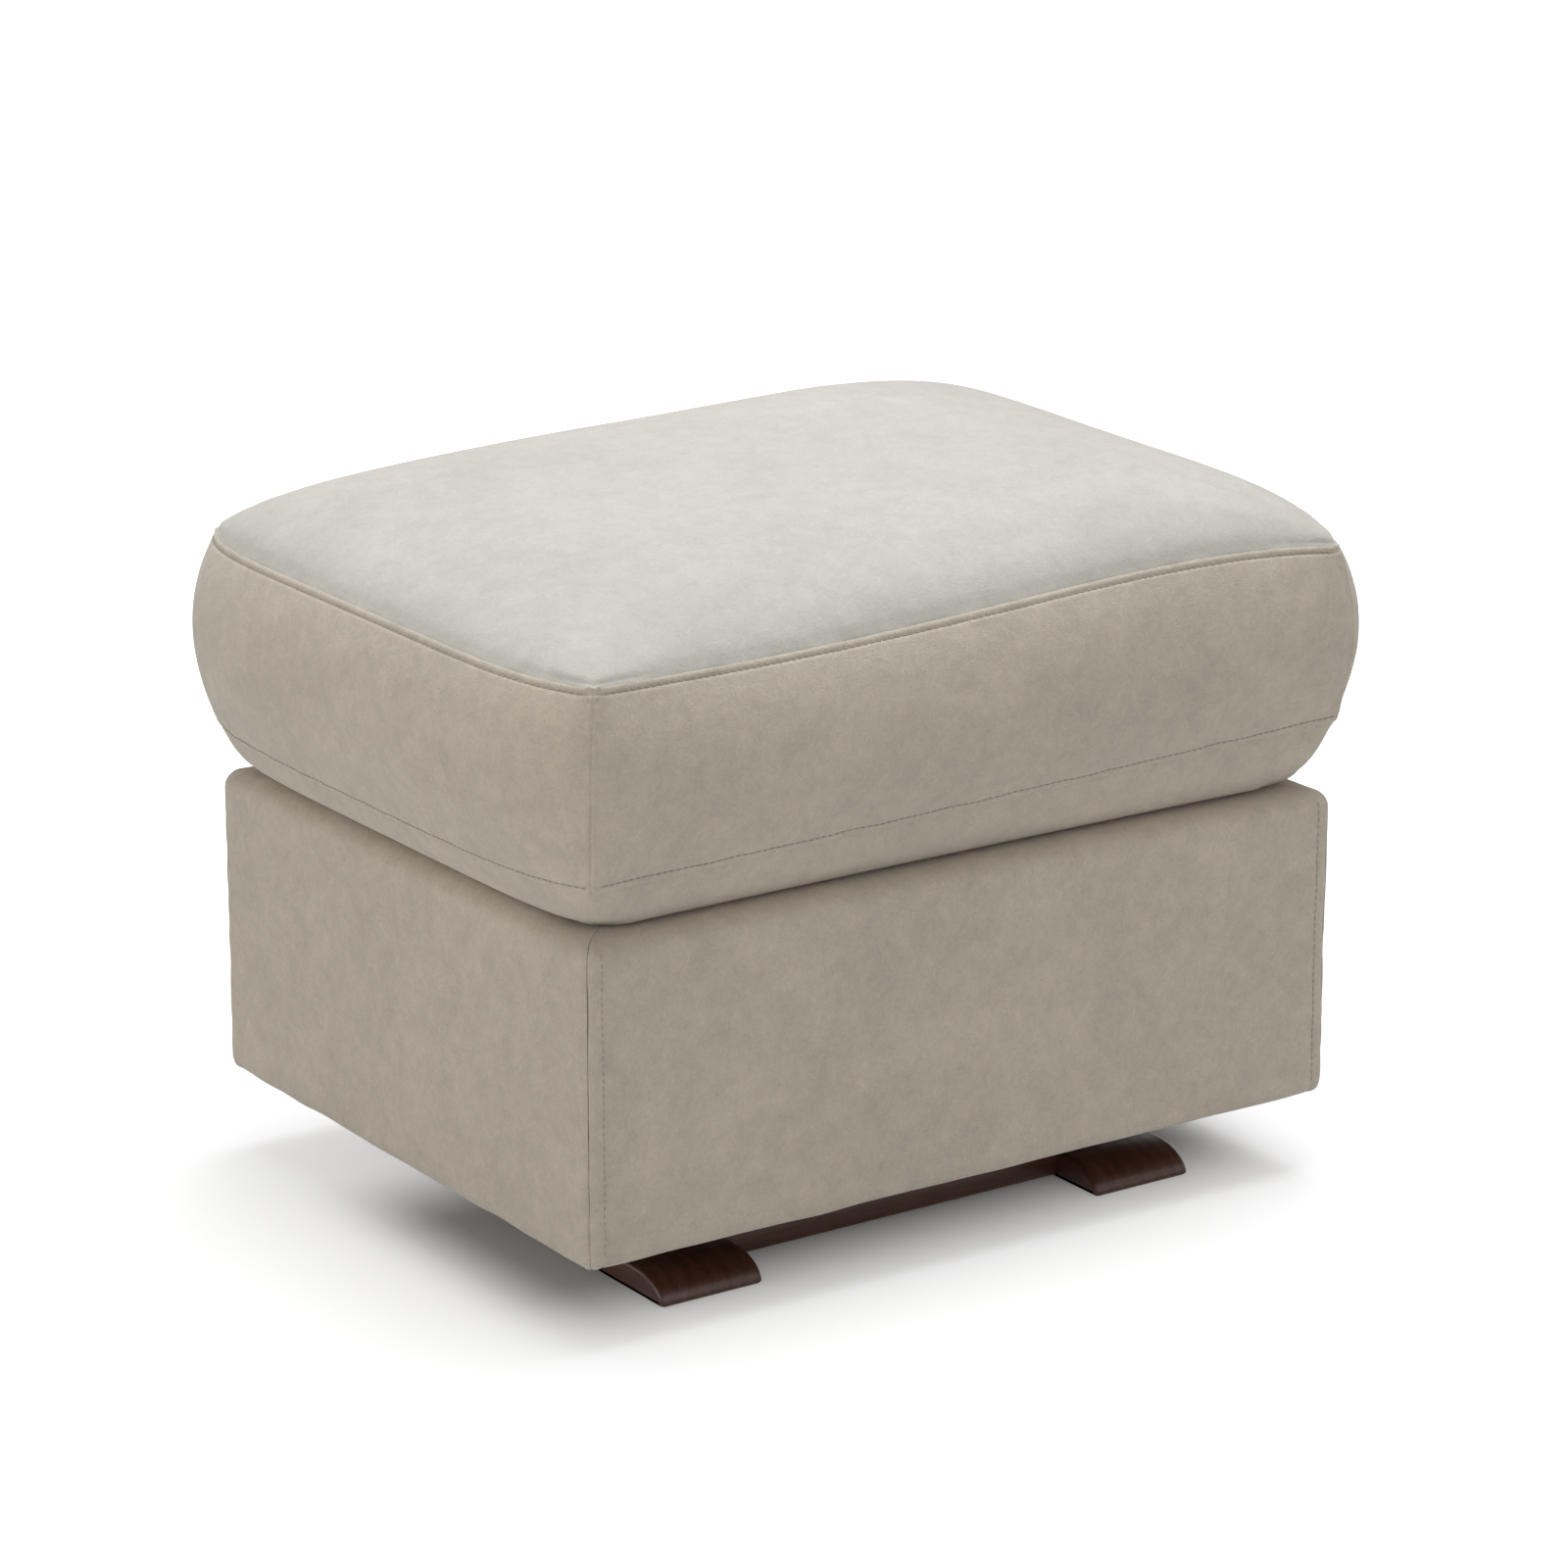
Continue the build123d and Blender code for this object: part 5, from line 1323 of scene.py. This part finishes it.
pad_upper = np.stack([pad_x, pad_y, np.minimum(pad_high[2] - 0.15, rolled_edge)], axis=-1)
pad_under = np.stack([pad_x, pad_y, pad_low[2] + 0.35 + 0.5 * over_spring + soft], axis=-1)[:, ::-1]
rows, columns = pad_x.shape
ring_upper = np.concatenate([np.arange(columns), np.arange(1, rows) * columns + columns - 1,
                             (rows - 1) * columns + np.arange(columns - 2, -1, -1),
                             np.arange(rows - 2, 0, -1) * columns])
row_number, column_number = np.divmod(ring_upper, columns)
ring_under = rows * columns + row_number * columns + (columns - 1 - column_number)
wall = np.stack([ring_under, np.roll(ring_under, -1), np.roll(ring_upper, -1), ring_upper], axis=1)
pad_quads = np.concatenate([grid_quads(rows, columns), grid_quads(rows, columns) + rows * columns, wall])
pad_points = np.concatenate([pad_upper.reshape(-1, 3), pad_under.reshape(-1, 3)])
deck_foam = mesh_piece("deck_foam_pad", pad_points, pad_quads)
tidy(deck_foam, "seat", "foam", foam, "deck_pad")
print("deck pad", rows, columns)

# %% Deck cloth and tape
TAPE_WIDTH = 25.0


def flat_cloth(name, low, high, step, thickness, wave, seed):
    """A lying piece of cloth between two corners, with a gentle unevenness; it fills most of its height."""
    x, y = (np.linspace(low[n], high[n], max(3, int((high[n] - low[n]) / step))) for n in (0, 1))
    x, y = np.broadcast_arrays(x[None, :], y[:, None])
    z = high[2] - wave + wave * swells(x, y, 40.0, seed)
    return thicken(grid_piece(name, np.stack([x, y, z], -1)), thickness)


low, high = box_mm("deck_sheet")
deck_cloth = flat_cloth("deck_cloth", low, high, 5.0, 1.1, 0.12, 330)
tidy(deck_cloth, "seat", "deck_cloth", deck_weave, "deck_sheet")
for node, name in (("deck_loop_strips", "deck_loop_tape"), ("cushion_hook_strips", "cushion_hook_tape")):
    low, high = box_mm(node)
    for end, near in (("front", low[1]), ("rear", high[1] - TAPE_WIDTH)):
        corners = (low[0], near, low[2]), (high[0], near + TAPE_WIDTH, high[2])
        strip = flat_cloth(f"{end}_{name}", *corners, 2.5, 1.0, 0.1, 340)
        tidy(strip, "seat", "touch_tape", loop_tape, *([node] if end == "front" else []))
print("deck cloth and four strips of tape are in place")

# %% [markdown]
# ## The end

# %% The end
import json
